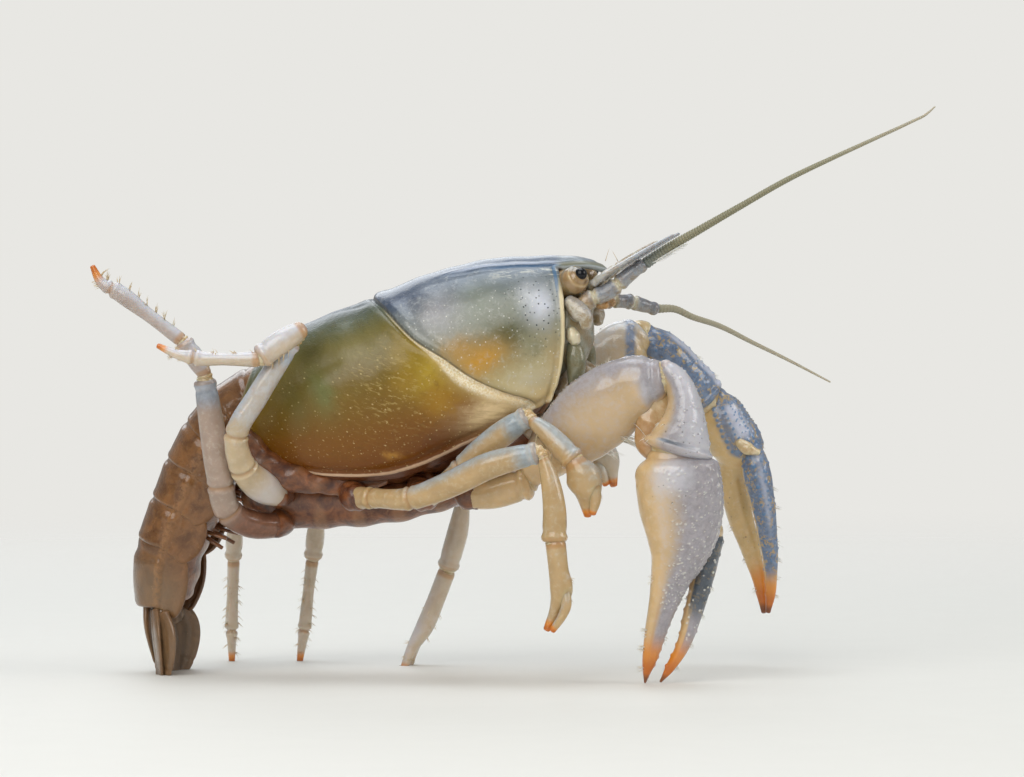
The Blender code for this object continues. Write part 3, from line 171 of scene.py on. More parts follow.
RIGHT_LEG_5 = {
    "upper": ((-17.4, -1.2, 12.0, 0.9, 0.85), (-19.4, -2.4, 12.2, 1.05, 0.95), (-21.1, -3.6, 13.3, 1.0, 0.92),
              (-21.7, -4.8, 16.0, 0.98, 0.88), (-22.2, -5.2, 19.6, 0.96, 0.86),
              (-22.7, -5.5, 23.0, 0.8, 0.74)),
    "shank": ((-22.8, -5.6, 23.8, 0.6, 0.58), (-23.4, -5.6, 24.8, 0.72, 0.68),
              (-24.2, -5.6, 25.9, 0.68, 0.64)),
    "foot": ((-24.6, -5.6, 26.3, 0.52, 0.5), (-26.7, -5.5, 27.9, 0.5, 0.46), (-29.1, -5.4, 29.7, 0.62, 0.52),
             (-30.4, -5.3, 30.5, 0.38, 0.34), (-31.0, -5.2, 31.6, 0.2, 0.2)),
}
LEFT_LEG_2 = {
    "upper": ((-6.4, 3.3, 14.1, 0.95, 0.9), (-5.3, 4.6, 14.6, 0.8, 0.75), (-4.0, 5.6, 15.8, 0.8, 0.75),
              (-2.0, 6.7, 17.6, 0.92, 0.85), (0.2, 7.6, 19.2, 0.95, 0.85), (1.7, 8.1, 19.9, 0.78, 0.72)),
    "shank": ((2.2, 8.3, 19.8, 0.5, 0.5), (3.7, 8.5, 19.2, 0.75, 0.7), (5.7, 8.5, 18.0, 0.88, 0.78)),
    "hand": ((6.1, 8.5, 17.6, 0.75, 0.75), (6.8, 8.4, 16.8, 1.1, 0.95), (7.3, 8.2, 15.9, 1.0, 0.8),
             (7.6, 8.1, 15.0, 0.55, 0.48), (7.8, 8.0, 14.2, 0.28, 0.28)),
    "thumb": ((6.6, 8.0, 16.0, 0.45, 0.45), (6.9, 7.6, 15.1, 0.4, 0.38), (7.2, 7.6, 14.3, 0.26, 0.26)),
}
LEFT_LEG_3 = {
    "upper": ((-11.6, 3.9, 13.7, 0.95, 0.9), (-10.6, 5.2, 13.2, 0.78, 0.74), (-9.2, 6.2, 13.0, 0.88, 0.8),
              (-7.4, 7.4, 13.2, 1.0, 0.9), (-5.5, 8.6, 13.5, 1.0, 0.9), (-4.1, 9.5, 13.3, 0.85, 0.78)),
    "shank": ((-3.8, 9.8, 12.7, 0.6, 0.55), (-4.1, 10.1, 10.8, 0.88, 0.78), (-4.9, 10.4, 7.8, 0.92, 0.8)),
    "hand": ((-5.1, 10.5, 7.1, 0.72, 0.68), (-5.9, 10.6, 5.0, 0.76, 0.68), (-6.8, 10.7, 2.9, 0.86, 0.68),
             (-7.7, 10.4, 1.4, 0.48, 0.44), (-8.5, 10.3, -0.6, 0.26, 0.26)),
    "thumb": ((-7.0, 11.1, 2.4, 0.42, 0.4), (-7.5, 11.4, 1.3, 0.36, 0.34), (-8.1, 11.2, -0.6, 0.26, 0.26)),
}
LEFT_LEG_4 = {
    "upper": ((-14.7, 4.2, 13.5, 0.85, 0.8), (-15.1, 5.7, 12.9, 0.92, 0.85), (-15.6, 7.4, 12.8, 0.82, 0.78),
              (-15.7, 9.6, 12.6, 0.85, 0.8), (-15.6, 11.8, 12.2, 0.84, 0.78), (-15.3, 13.6, 11.6, 0.7, 0.68)),
    "shank": ((-15.2, 14.0, 11.0, 0.55, 0.55), (-15.3, 14.5, 9.8, 0.76, 0.7), (-15.5, 14.9, 8.1, 0.72, 0.68)),
    "foot": ((-15.6, 15.0, 7.5, 0.52, 0.5), (-15.9, 15.3, 5.2, 0.46, 0.44), (-16.2, 15.5, 2.5, 0.54, 0.48),
             (-16.4, 15.6, 1.2, 0.4, 0.36), (-16.6, 15.6, -0.3, 0.24, 0.24)),
}
LEFT_LEG_5 = {
    "upper": ((-17.2, 4.2, 12.4, 0.9, 0.85), (-18.3, 5.8, 11.8, 0.92, 0.88), (-19.0, 7.4, 11.6, 0.9, 0.85),
              (-19.9, 9.4, 11.7, 0.92, 0.84), (-20.8, 11.4, 11.5, 0.9, 0.82),
              (-21.4, 13.1, 11.0, 0.76, 0.72)),
    "shank": ((-21.5, 13.5, 10.4, 0.55, 0.55), (-21.6, 14.0, 9.3, 0.7, 0.66), (-21.7, 14.5, 8.1, 0.66, 0.62)),
    "foot": ((-21.7, 14.7, 7.5, 0.5, 0.48), (-21.8, 15.0, 5.1, 0.46, 0.44), (-21.9, 15.3, 2.4, 0.56, 0.48),
             (-21.9, 15.4, 1.1, 0.38, 0.34), (-21.9, 15.4, -0.3, 0.24, 0.24)),
}
# Folds of soft skin between the right arm and its palm, and between the left palm and its finger.
SOFT_FOLDS = (((10.9, -8.5, 23.0, 0.7, 0.5), (10.7, -8.5, 21.7, 1.0, 0.6), (10.3, -8.5, 20.3, 1.25, 0.7),
               (10.3, -8.6, 18.9, 1.2, 0.8), (10.9, -8.8, 17.7, 0.9, 0.7)),
              ((17.4, 7.45, 17.6, 0.34, 0.36), (18.1, 7.25, 17.0, 0.46, 0.4), (18.8, 7.4, 16.8, 0.3, 0.32)))
LEGS = {
    "leg2_right": (RIGHT_LEG_2, ACROSS), "leg3_right": (RIGHT_LEG_3, ACROSS),
    "leg4_right": (RIGHT_LEG_4, ACROSS), "leg5_right": (RIGHT_LEG_5, ACROSS),
    "leg2_left": (LEFT_LEG_2, ACROSS), "leg3_left": (LEFT_LEG_3, AHEAD),
    "leg4_left": (LEFT_LEG_4, AHEAD), "leg5_left": (LEFT_LEG_5, AHEAD),
}

# Feelers: rows of x, y, height and radius. The small ones and the jaws are in the body's own frame.
RIGHT_PEDUNCLE = ((4.8, -4.5, 28.0, 0.7), (5.6, -4.5, 29.0, 0.66), (7.1, -4.5, 29.7, 0.62),
                  (7.9, -4.45, 30.3, 0.6), (8.6, -4.4, 30.9, 0.56), (9.6, -4.3, 31.65, 0.5))
LEFT_PEDUNCLE = ((6.1, 0.1, 28.6, 0.6), (7.3, 0.7, 28.8, 0.6), (8.1, 1.1, 28.7, 0.5), (8.8, 1.5, 28.65, 0.54),
                 (9.8, 2.1, 28.35, 0.52), (10.75, 2.5, 28.05, 0.46))
RIGHT_WHIP = ((9.9, -4.3, 31.8, 0.5), (11.5, -4.3, 32.9, 0.44), (13.9, -4.4, 34.3, 0.38),
              (17.0, -4.6, 36.1, 0.32), (20.5, -4.9, 38.1, 0.29), (23.6, -5.2, 39.6, 0.25),
              (26.4, -5.5, 40.9, 0.22), (29.4, -5.9, 42.3, 0.18), (30.4, -6.1, 42.8, 0.16),
              (31.1, -6.2, 43.4, 0.1))
LEFT_WHIP = ((11.0, 2.65, 28.05, 0.38), (12.2, 3.4, 28.0, 0.34), (13.6, 4.5, 27.35, 0.31),
             (15.6, 6.5, 26.6, 0.29), (18.4, 9.6, 25.1, 0.25), (21.4, 12.8, 23.5, 0.2),
             (24.8, 16.0, 21.6, 0.12))
SCALE = ((16.6, 1.9, 2.4, 0.4, 0.3), (17.6, 2.1, 2.75, 0.6, 0.26), (18.9, 2.1, 3.08, 0.68, 0.22),
         (20.4, 1.95, 3.42, 0.68, 0.2), (22.0, 1.75, 3.78, 0.45, 0.16), (23.2, 1.6, 4.0, 0.15, 0.12))
FEELERET = ((16.1, 1.1, 2.2, 0.44), (17.3, 1.1, 2.65, 0.36), (18.5, 1.0, 3.1, 0.26), (20.1, 0.9, 3.6, 0.16),
            (21.6, 0.8, 3.95, 0.08))
FEELERET_FORK = ((17.9, 0.95, 2.9, 0.22), (19.4, 0.5, 3.3, 0.16), (20.9, 0.4, 3.7, 0.08))
# Small pieces of the face on each side, rows as for the limbs.
FACE_BITS = (
    (((14.5, 2.5, 1.7, 0.5, 0.45), (14.95, 2.65, 0.9, 0.72, 0.55), (15.3, 2.75, 0.1, 0.6, 0.5),
      (15.2, 2.8, -0.4, 0.4, 0.4)), "foot"),
    (((13.95, 2.5, -0.45, 0.4, 0.45), (14.0, 2.6, -0.9, 0.52, 0.5), (14.05, 2.6, -1.25, 0.4, 0.4)), "pearl"),
    (((13.75, 2.2, -1.5, 0.55, 0.5), (13.7, 2.35, -2.2, 0.72, 0.6), (13.45, 2.4, -3.2, 0.7, 0.6),
      (13.0, 2.3, -4.1, 0.5, 0.5)), "cheek"),
    (((16.2, 1.5, 1.1, 0.3, 0.3), (16.6, 1.6, 0.8, 0.42, 0.36), (16.9, 1.6, 0.6, 0.3, 0.3)), "gland"),
)
JAW_LEG = ((8.4, 1.7, -6.6, 0.9, 0.75), (10.0, 1.65, -6.0, 1.0, 0.72), (11.5, 1.6, -5.0, 1.0, 0.7),
           (12.6, 1.5, -3.9, 0.85, 0.6), (13.3, 1.4, -3.0, 0.6, 0.5))
JAW_PALP = ((13.3, 1.3, -3.1, 0.5, 0.45), (14.0, 1.0, -4.0, 0.5, 0.42), (13.9, 0.8, -5.3, 0.42, 0.36),
            (13.2, 0.7, -6.3, 0.28, 0.26))

# Blades of the tail fan: along from the root, across, out of the plane, half width, half thickness.
TELSON = ((-0.3, 0.0, 1.0, 1.5, 0.5), (1.4, 0.0, 0.95, 1.85, 0.42), (3.4, 0.0, 0.55, 1.7, 0.32),
          (5.0, 0.0, 0.1, 1.4, 0.26), (6.1, 0.0, -0.2, 0.95, 0.2))
PADDLE_STEM = ((-0.3, 1.6, 0.0, 0.75, 0.5), (1.1, 2.3, -0.4, 0.9, 0.5))
INNER_PADDLE = ((0.3, 2.1, 0.1, 0.8, 0.36), (2.0, 2.7, -0.1, 1.35, 0.3), (4.0, 2.7, -0.3, 1.3, 0.24),
                (5.9, 2.2, -0.4, 0.8, 0.18))
OUTER_PADDLE = ((0.5, 2.6, -0.5, 0.8, 0.36), (2.0, 3.2, -0.9, 1.2, 0.3), (4.0, 3.1, -0.8, 1.1, 0.24),
                (5.8, 2.5, -0.4, 0.65, 0.18))
INNER_LEAN = 22.0
OUTER_LEAN = 52.0


def tone(red, green, blue):
    """A colour given as screen tones from 0 to 255, as the linear values that a shader takes."""
    share = np.array((red, green, blue)) / 255.0
    linear = np.where(share <= 0.04045, share / 12.92, ((share + 0.055) / 1.055) ** 2.4)
    return tuple(float(v) for v in linear)


class Wire:
    """A shader value that can stand in sums, so that an expression adds its own Math nodes."""

    def __init__(self, paint, socket):
        self.paint = paint
        self.socket = socket

    def maths(self, operation, first, second):
        return self.paint.add("ShaderNodeMath", {"operation": operation}, {0: first, 1: second})

    def __add__(self, other):
        return self.maths("ADD", self, other)

    def __radd__(self, other):
        return self.maths("ADD", other, self)

    def __sub__(self, other):
        return self.maths("SUBTRACT", self, other)

    def __rsub__(self, other):
        return self.maths("SUBTRACT", other, self)

    def __mul__(self, other):
        return self.maths("MULTIPLY", self, other)

    def __rmul__(self, other):
        return self.maths("MULTIPLY", other, self)

    def __truediv__(self, other):
        return self.maths("DIVIDE", self, other)

    def highest(self, other):
        return self.maths("MAXIMUM", self, other)

    def square_from(self, middle=0.0):
        """The square of the distance from a value."""
        away = self - middle if middle else self
        return away * away

    def ramp(self, start, end, low=0.0, high=1.0):
        """Goes smoothly from low to high as the value goes from start to end."""
        settings = {"interpolation_type": "SMOOTHSTEP"}
        return self.paint.add("ShaderNodeMapRange", settings, {0: self, 1: start, 2: end, 3: low, 4: high})


class Paint:
    """One procedural material and the few moves that its patterns need."""

    def __init__(self, name):
        self.material = bpy.data.materials.new(name)
        self.material.use_nodes = True
        self.tree = self.material.node_tree
        self.shader = self.tree.nodes["Principled BSDF"]
        self.places = None
        self.base = None
        self.normal = None

    def add(self, kind, settings, links, out=0):
        """A node of the given type: its settings are made first, then its sockets get values or links."""
        node = self.tree.nodes.new(kind)
        for key, value in settings.items():
            if key == "stops":
                for number, (place, colour) in enumerate(value):
                    stops = node.color_ramp.elements
                    stop = stops[number] if number < 2 else stops.new(place)
                    stop.position = place
                    stop.color = (*colour, 1.0)
            else:
                setattr(node, key, value)
        for key, value in links.items():
            self.plug(node.inputs[key], value)
        return Wire(self, node.outputs[out])

    def plug(self, socket, value):
        if isinstance(value, Wire):
            self.tree.links.new(value.socket, socket)
        elif socket.type == "RGBA" and len(value) == 3:
            socket.default_value = (*value, 1.0)
        else:
            socket.default_value = value

    def place(self):
        """Object coordinates in millimetres."""
        if self.places is None:
            raw = self.add("ShaderNodeTexCoord", {}, {}, 3)
            self.places = self.add("ShaderNodeVectorMath", {"operation": "SCALE"}, {0: raw, "Scale": 1000.0})
        return self.places

    def number(self, name):
        return self.add("ShaderNodeAttribute", {"attribute_name": name}, {}, 2)

    def numbers(self, *names):
        return [self.number(name) for name in names]

    def noise(self, scale, detail=3.0, rough=0.55, warp=0.0, stretch=None, where=None):
        """Cloudy noise between 0 and 1, its scale in blotches a millimetre."""
        if where is None:
            where = self.place() if stretch is None else self.stretched(stretch)
        links = {"Vector": where, "Scale": scale, "Detail": detail, "Roughness": rough, "Distortion": warp}
        return self.add("ShaderNodeTexNoise", {}, links)

    def stretched(self, stretch):
        return self.add("ShaderNodeVectorMath", {"operation": "MULTIPLY"}, {0: self.place(), 1: stretch})

    def cells(self, scale, scatter=1.0, flat=None):
        """Distance to the nearest of many scattered points, in millimetres times the scale."""
        settings = {"voronoi_dimensions": "3D" if flat is None else "2D"}
        links = {"Vector": self.place() if flat is None else flat, "Scale": scale, "Randomness": scatter}
        return self.add("ShaderNodeTexVoronoi", settings, links)

    def pair(self, first, second):
        """Two values as the first two parts of a vector."""
        return self.add("ShaderNodeCombineXYZ", {}, {0: first, 1: second})

    def mix(self, share, first, second):
        return self.add("ShaderNodeMix", {"data_type": "RGBA"}, {0: share, 6: first, 7: second}, 2)

    def colours(self, value, stops):
        return self.add("ShaderNodeValToRGB", {"stops": stops}, {0: value})

    def over(self, share, colour):
        """Lays a colour over what is painted so far, by its share."""
        self.base = self.mix(share, self.base, colour)

    def emboss(self, height, distance, strength=1.0):
        """Adds a relief to those made so far, its distance in millimetres."""
        links = {"Height": height, "Distance": distance * MM, "Strength": strength}
        if self.normal is not None:
            links["Normal"] = self.normal
        self.normal = self.add("ShaderNodeBump", {}, links)

    def finish(self, rough, glow=0.0, depth=0.6, wet=1.0, wet_rough=0.06, shine=0.5):
        """Plugs the pattern into the shader: colour, roughness and normal vary, the rest is the same."""
        self.plug(self.shader.inputs["Base Color"], self.base)
        self.plug(self.shader.inputs["Roughness"], rough)
        if self.normal is not None:
            self.plug(self.shader.inputs["Normal"], self.normal)
        self.shader.inputs["Subsurface Weight"].default_value = glow
        self.shader.inputs["Subsurface Radius"].default_value = (1.0, 0.6, 0.35)
        self.shader.inputs["Subsurface Scale"].default_value = depth * MM
        if wet is not None:
            self.shader.inputs["Coat Weight"].default_value = wet
        self.shader.inputs["Coat Roughness"].default_value = wet_rough
        self.shader.inputs["Specular IOR Level"].default_value = shine
        return self.material


def settled(points):
    """Layout millimetres to metres in the frame.

    The side and height are turned by the lean about a level line, height' = side sin + height cos, then the
    whole is moved so that the floor is at zero, and nothing sinks below it.
    """
    points = np.asarray(points, float)
    side, height = points[..., 1], points[..., 2] - LEAN_HEIGHT
    turned = np.empty_like(points)
    turned[..., 0] = points[..., 0]
    turned[..., 1] = side * cos(LEAN) - height * sin(LEAN) + SHIFT_Y
    turned[..., 2] = side * sin(LEAN) + height * cos(LEAN) + LEAN_HEIGHT - FLOOR
    turned[..., 2] = np.maximum(turned[..., 2], 0.0)
    return turned * MM


def body_axes():
    """Forward, left and up of the animal as rows, from its pitch and turn."""
    pitch, turn = BODY_PITCH, BODY_TURN
    forward = np.array((cos(pitch) * cos(turn), -cos(pitch) * sin(turn), sin(pitch)))
    left = np.array((sin(turn), cos(turn), 0.0))
    return np.array((forward, left, np.cross(forward, left)))


AXES = body_axes()


def in_body(points):
    """Forward, left and up in the body's frame as layout places: the origin plus each times its axis."""
    return BODY_PLACE + np.asarray(points, float) @ AXES


def unit(vectors):
    """Each vector over its own length."""
    return vectors / np.maximum(np.linalg.norm(vectors, axis=-1, keepdims=True), 1e-9)


def bell(value, middle, width):
    """A smooth hill: e to the minus square of the distance from the middle over the width."""
    return np.exp(-((value - middle) / width) ** 2)


def step(value, start, end):
    """0 before the start, 1 after the end and smooth between."""
    share = np.clip((value - start) / (end - start), 0.0, 1.0)
    return share * share * (3.0 - 2.0 * share)


def eased(at, rows, want):
    """Rows on a smooth curve through the given ones: cubic pieces whose slopes are the rows' own gradient."""
    slope = np.gradient(rows, at, axis=0)
    part = np.clip(np.searchsorted(at, want, side="right") - 1, 0, len(at) - 2)
    span = (at[part + 1] - at[part])[:, None]
    t = (want - at[part])[:, None] / span
    return ((2 * t**3 - 3 * t**2 + 1) * rows[part] + (t**3 - 2 * t**2 + t) * span * slope[part]
            + (3 * t**2 - 2 * t**3) * rows[part + 1] + (t**3 - t**2) * span * slope[part + 1])


def eased_line(at, values, want):
    """One column of numbers, eased in the same way at places of any shape."""
    want = np.asarray(want, float)
    at = np.asarray(at, float)
    flat = eased(at, np.asarray(values, float)[:, None], np.clip(want.ravel(), at[0], at[-1]))
    return flat[:, 0].reshape(want.shape)


def rows_in_body(table, sign=1.0):
    """Limb rows from the body's frame to the layout, the side times the sign; a radius does for two."""
    return [(*in_body((row[0], row[1] * sign, row[2])), row[3], row[-1]) for row in table]


class Skin:
    """A grid of points with the places on it that reliefs and colours are worked out from."""

    def __init__(self, points, normal, share, angle, length):
        self.points = points
        self.normal = normal
        self.share = share
        self.angle = angle
        self.length = length
        self.values = {}

    def mark(self, **marks):
        """Keeps numbers for the finishes, each one value for every point or the same all over."""
        for name, value in marks.items():
            self.values[name] = np.ones(self.share.shape) * value

    def from_root(self):
        """Millimetres from the root: share times length."""
        return self.share * self.length

    def from_tip(self):
        """Millimetres from the tip."""
        return (1.0 - self.share) * self.length

    def facing(self, direction):
        """How far the surface looks along a direction, from 0 away to 1 towards it."""
        return 0.5 + 0.5 * self.normal @ unit(np.asarray(direction, float))

    def near(self, spots, size):
        """Round spots at (share, angle): the highest of their hills, e to the minus distance squared."""
        radius = np.linalg.norm(self.points - self.points.mean(axis=1, keepdims=True), axis=2)
        total = np.zeros(self.share.shape)
        for share, angle, scale in spots:
            along = (self.share - share) * self.length
            around = np.angle(np.exp(1j * (self.angle - angle))) * radius
            total = np.maximum(total, np.exp(-(along**2 + around**2) / (size * scale) ** 2))
        return total


def carry(rows, facing, rings=60, sides=36, domes=(0.5, 0.5), reach=(0.0, 0.0)):
    """A closed oval skin carried along the limb's rows.

    At share s and angle a a point is centre(s) + cos(a) width(s) W + sin(a) depth(s) D, where W stands across
    the limb and the facing, and D across the limb and W. Each end closes as a quarter of an ellipse.
    """
    rows = np.array(rows, float)
    steps = np.linalg.norm(np.diff(rows[:, :3], axis=0), axis=1)
    at = np.concatenate([[0.0], np.cumsum(steps)])
    length = at[-1]
    at = at / length
    caps = 7
    arc = np.linspace(0.5 * pi, 0.0, caps + 1)[:-1]
    share = np.concatenate([np.zeros(caps), np.linspace(0.0, 1.0, rings), np.ones(caps)])
    shrink = np.concatenate([np.cos(arc), np.ones(rings), np.cos(arc[::-1])])
    first = domes[0] * min(rows[0, 3:5]) + reach[0]
    last = domes[1] * min(rows[-1, 3:5]) + reach[1]
    push = np.concatenate([-np.sin(arc) * first, np.zeros(rings), np.sin(arc[::-1]) * last])
    line = eased(at, rows, share)
    hair = 0.004
    ahead = eased(at, rows, np.minimum(share + hair, 1.0))
    behind = eased(at, rows, np.maximum(share - hair, 0.0))
    along = unit((ahead - behind)[:, :3])
    wide = unit(np.cross(np.asarray(facing, float), along))
    deep = np.cross(along, wide)
    angle = np.linspace(-pi, pi, sides, endpoint=False)
    half_w, half_d = line[:, 3] * shrink, line[:, 4] * shrink
    centre = line[:, :3] + along * push[:, None]
    points = (centre[:, None] + (half_w[:, None] * np.cos(angle))[..., None] * wide[:, None]
              + (half_d[:, None] * np.sin(angle))[..., None] * deep[:, None])
    normal = unit((line[:, 4, None] * np.cos(angle))[..., None] * wide[:, None]
                  + (line[:, 3, None] * np.sin(angle))[..., None] * deep[:, None])
    ends = np.concatenate([-np.sin(arc), np.zeros(rings), np.sin(arc[::-1])])
    normal = unit(normal * shrink[:, None, None] + (along * ends[:, None])[:, None])
    shares = np.repeat(share[:, None], sides, axis=1)
    skin = Skin(points, normal, shares, np.repeat(angle[None], len(share), axis=0), length)
    skin.shrink = np.repeat(shrink[:, None], sides, axis=1)
    skin.along = along
    return skin


def raise_skin(skin, relief):
    """Pushes every point out along its normal by the relief, which fades at the closed ends."""
    skin.points = skin.points + skin.normal * (relief * skin.shrink)[..., None]
    return skin


def tube_mesh(skin):
    """Points, faces and values of a closed tube: a point at each end, triangles round it, quads between."""
    inner = skin.points[1:-1]
    rows, sides = inner.shape[:2]
    ends = skin.points[[0, -1]].mean(axis=1)
    points = np.concatenate([ends[:1], inner.reshape(-1, 3), ends[1:]])
    k = np.arange(sides)
    nxt = (k + 1) % sides
    r = np.arange(rows - 1)[:, None]
    low, high = 1 + r * sides, 1 + (r + 1) * sides
    quads = np.stack([low + k, low + nxt, high + nxt, high + k], axis=2)
    start = np.stack([np.zeros_like(k), 1 + nxt, 1 + k], axis=1)
    base = 1 + (rows - 1) * sides
    end = np.stack([np.full_like(k, len(points) - 1), base + k, base + nxt], axis=1)
    values = {}
    for name, grid in skin.values.items():
        values[name] = np.concatenate([[grid[0].mean()], grid[1:-1].ravel(), [grid[-1].mean()]])
    return points, [quads.reshape(-1, 4), start, end], values


def grid_normals(grid):
    """The cross product of the grid's slopes along its rows and columns, of length one."""
    return unit(np.cross(np.gradient(grid, axis=0), np.gradient(grid, axis=1)))


def plate_mesh(outer, thick, values, lips=3):
    """A closed plate from one grid: the grid itself, the same grid sunk by the thickness, and a round rim.

    The rim is edge - N t/2 (1 - cos a) + E t/2 sin a, with N the normal and E outwards in the sheet.
    """
    rows, cols = outer.shape[:2]
    normal = grid_normals(outer)
    thick = np.broadcast_to(np.asarray(thick, float), (rows, cols))
    inner = outer - normal * thick[..., None]
    index = np.arange(rows * cols).reshape(rows, cols)
    rim = np.concatenate([index[0], index[1:, -1], index[-1, -2::-1], index[-2:0:-1, 0]])
    i, j = np.divmod(rim, cols)
    inside = outer[np.clip(i, 1, rows - 2), np.clip(j, 1, cols - 2)]
    edge, across = outer.reshape(-1, 3)[rim], normal.reshape(-1, 3)[rim]
    away = edge - inside
    away = unit(away - across * np.sum(away * across, axis=1, keepdims=True))
    half = thick.ravel()[rim][:, None] / 2.0
    loops = [edge - across * half * (1.0 - cos(a)) + away * half * sin(a)
             for a in np.linspace(0.0, pi, lips + 2)[1:-1]]
    points = np.concatenate([outer.reshape(-1, 3), inner.reshape(-1, 3)] + loops)
    a, b, c, d = index[:-1, :-1], index[:-1, 1:], index[1:, 1:], index[1:, :-1]
    top = np.stack([a, d, c, b], axis=2).reshape(-1, 4)
    under = np.stack([a, b, c, d], axis=2).reshape(-1, 4) + rows * cols
    turns = [2 * rows * cols + n * len(rim) + np.arange(len(rim)) for n in range(lips)]
    bands = [rim] + turns + [rim + rows * cols]
    strips = [np.stack([p, np.roll(p, -1), np.roll(q, -1), q], axis=1) for p, q in zip(bands[:-1], bands[1:])]
    spread = {}
    for name, grid in values.items():
        flat = grid.ravel()
        spread[name] = np.concatenate([flat, flat] + [flat[rim]] * lips)
    inner_share = np.linspace(0.0, 1.0, lips + 2)[1:-1]
    spread["inside"] = np.concatenate([np.zeros(rows * cols), np.ones(rows * cols)]
                                      + [np.full(len(rim), share) for share in inner_share])
    return points, [top, under] + strips, spread


def joined(meshes):
    """Several meshes as one, the face numbers of each moved on by the points before it."""
    names = sorted(set().union(*(values for _, _, values in meshes)))
    points, faces, spread, count = [], [], {name: [] for name in names}, 0
    for some, groups, values in meshes:
        points.append(some)
        faces += [group + count for group in groups]
        for name in names:
            spread[name].append(values.get(name, np.zeros(len(some))))
        count += len(some)
    return np.concatenate(points), faces, {name: np.concatenate(rows) for name, rows in spread.items()}


def add_piece(name, mesh_data, material, nodes=(), unwrap=None):
    """Makes the mesh in the frame, faces outwards, gives it its finish and lets it ride on the body."""
    points, groups, values = mesh_data
    points = settled(points)
    groups = [np.asarray(group) for group in groups if len(group)]
    volume = 0.0
    for group in groups:
        a = points[group[:, 0]]
        for n in range(1, group.shape[1] - 1):
            volume += float(np.sum(np.cross(points[group[:, n]], points[group[:, n + 1]]) * a))
    if volume < 0.0:
        groups = [group[:, ::-1] for group in groups]
    corners = np.concatenate([group.ravel() for group in groups])
    sizes = np.concatenate([np.full(len(group), group.shape[1]) for group in groups])
    starts = np.concatenate([[0], np.cumsum(sizes)[:-1]])
    mesh = bpy.data.meshes.new(name)
    mesh.vertices.add(len(points))
    mesh.vertices.foreach_set("co", points.ravel())
    mesh.loops.add(len(corners))
    mesh.loops.foreach_set("vertex_index", corners.astype(np.int32))
    mesh.polygons.add(len(sizes))
    mesh.polygons.foreach_set("loop_start", starts.astype(np.int32))
    mesh.update(calc_edges=True)
    mesh.shade_smooth()
    for key, numbers in values.items():
        mesh.attributes.new(key, "FLOAT", "POINT").data.foreach_set("value", numbers.astype(np.float32))
    if unwrap is not None:
        layer = mesh.uv_layers.new(name="OFBake")
        layer.data.foreach_set("uv", unwrap[corners].astype(np.float32).ravel())
    mesh.materials.append(material)
    piece = bpy.data.objects.new(name, mesh)
    bpy.context.scene.collection.objects.link(piece)
    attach(piece, "root")
    if nodes:
        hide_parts(*nodes)
    return piece


def shell_point(place, turn, grow=0.0):
    """A point of the shield from its forward place and turn, 0 at the back and 1 or -1 at the lower edges.

    Above the widest line it is (wide sin, middle + (top - middle) cos), below it narrows to the edge share of
    the width as it reaches the lower edge.
    """
    side = np.abs(turn)
    top = eased_line(SHELL_F, SHELL_TOP, place) + grow
    low = eased_line(SHELL_F, SHELL_LOW, place) - grow
    wide = eased_line(SHELL_F, SHELL_WIDE, place) + grow
    edge = wide * SHELL_EDGE_SHARE
    middle = low + (top - low) * ROUND_SHARE
    angle = side * pi
    upper = np.stack([wide * np.sin(angle), middle + (top - middle) * np.cos(angle)], axis=-1)
    lean = (side - 0.5) * pi
    lower = np.stack([edge + (wide - edge) * np.cos(lean), middle - (middle - low) * np.sin(lean)], axis=-1)
    section = np.where(side[..., None] <= 0.5, upper, lower)
    return np.stack([place, section[..., 0] * np.sign(turn), section[..., 1]], axis=-1)


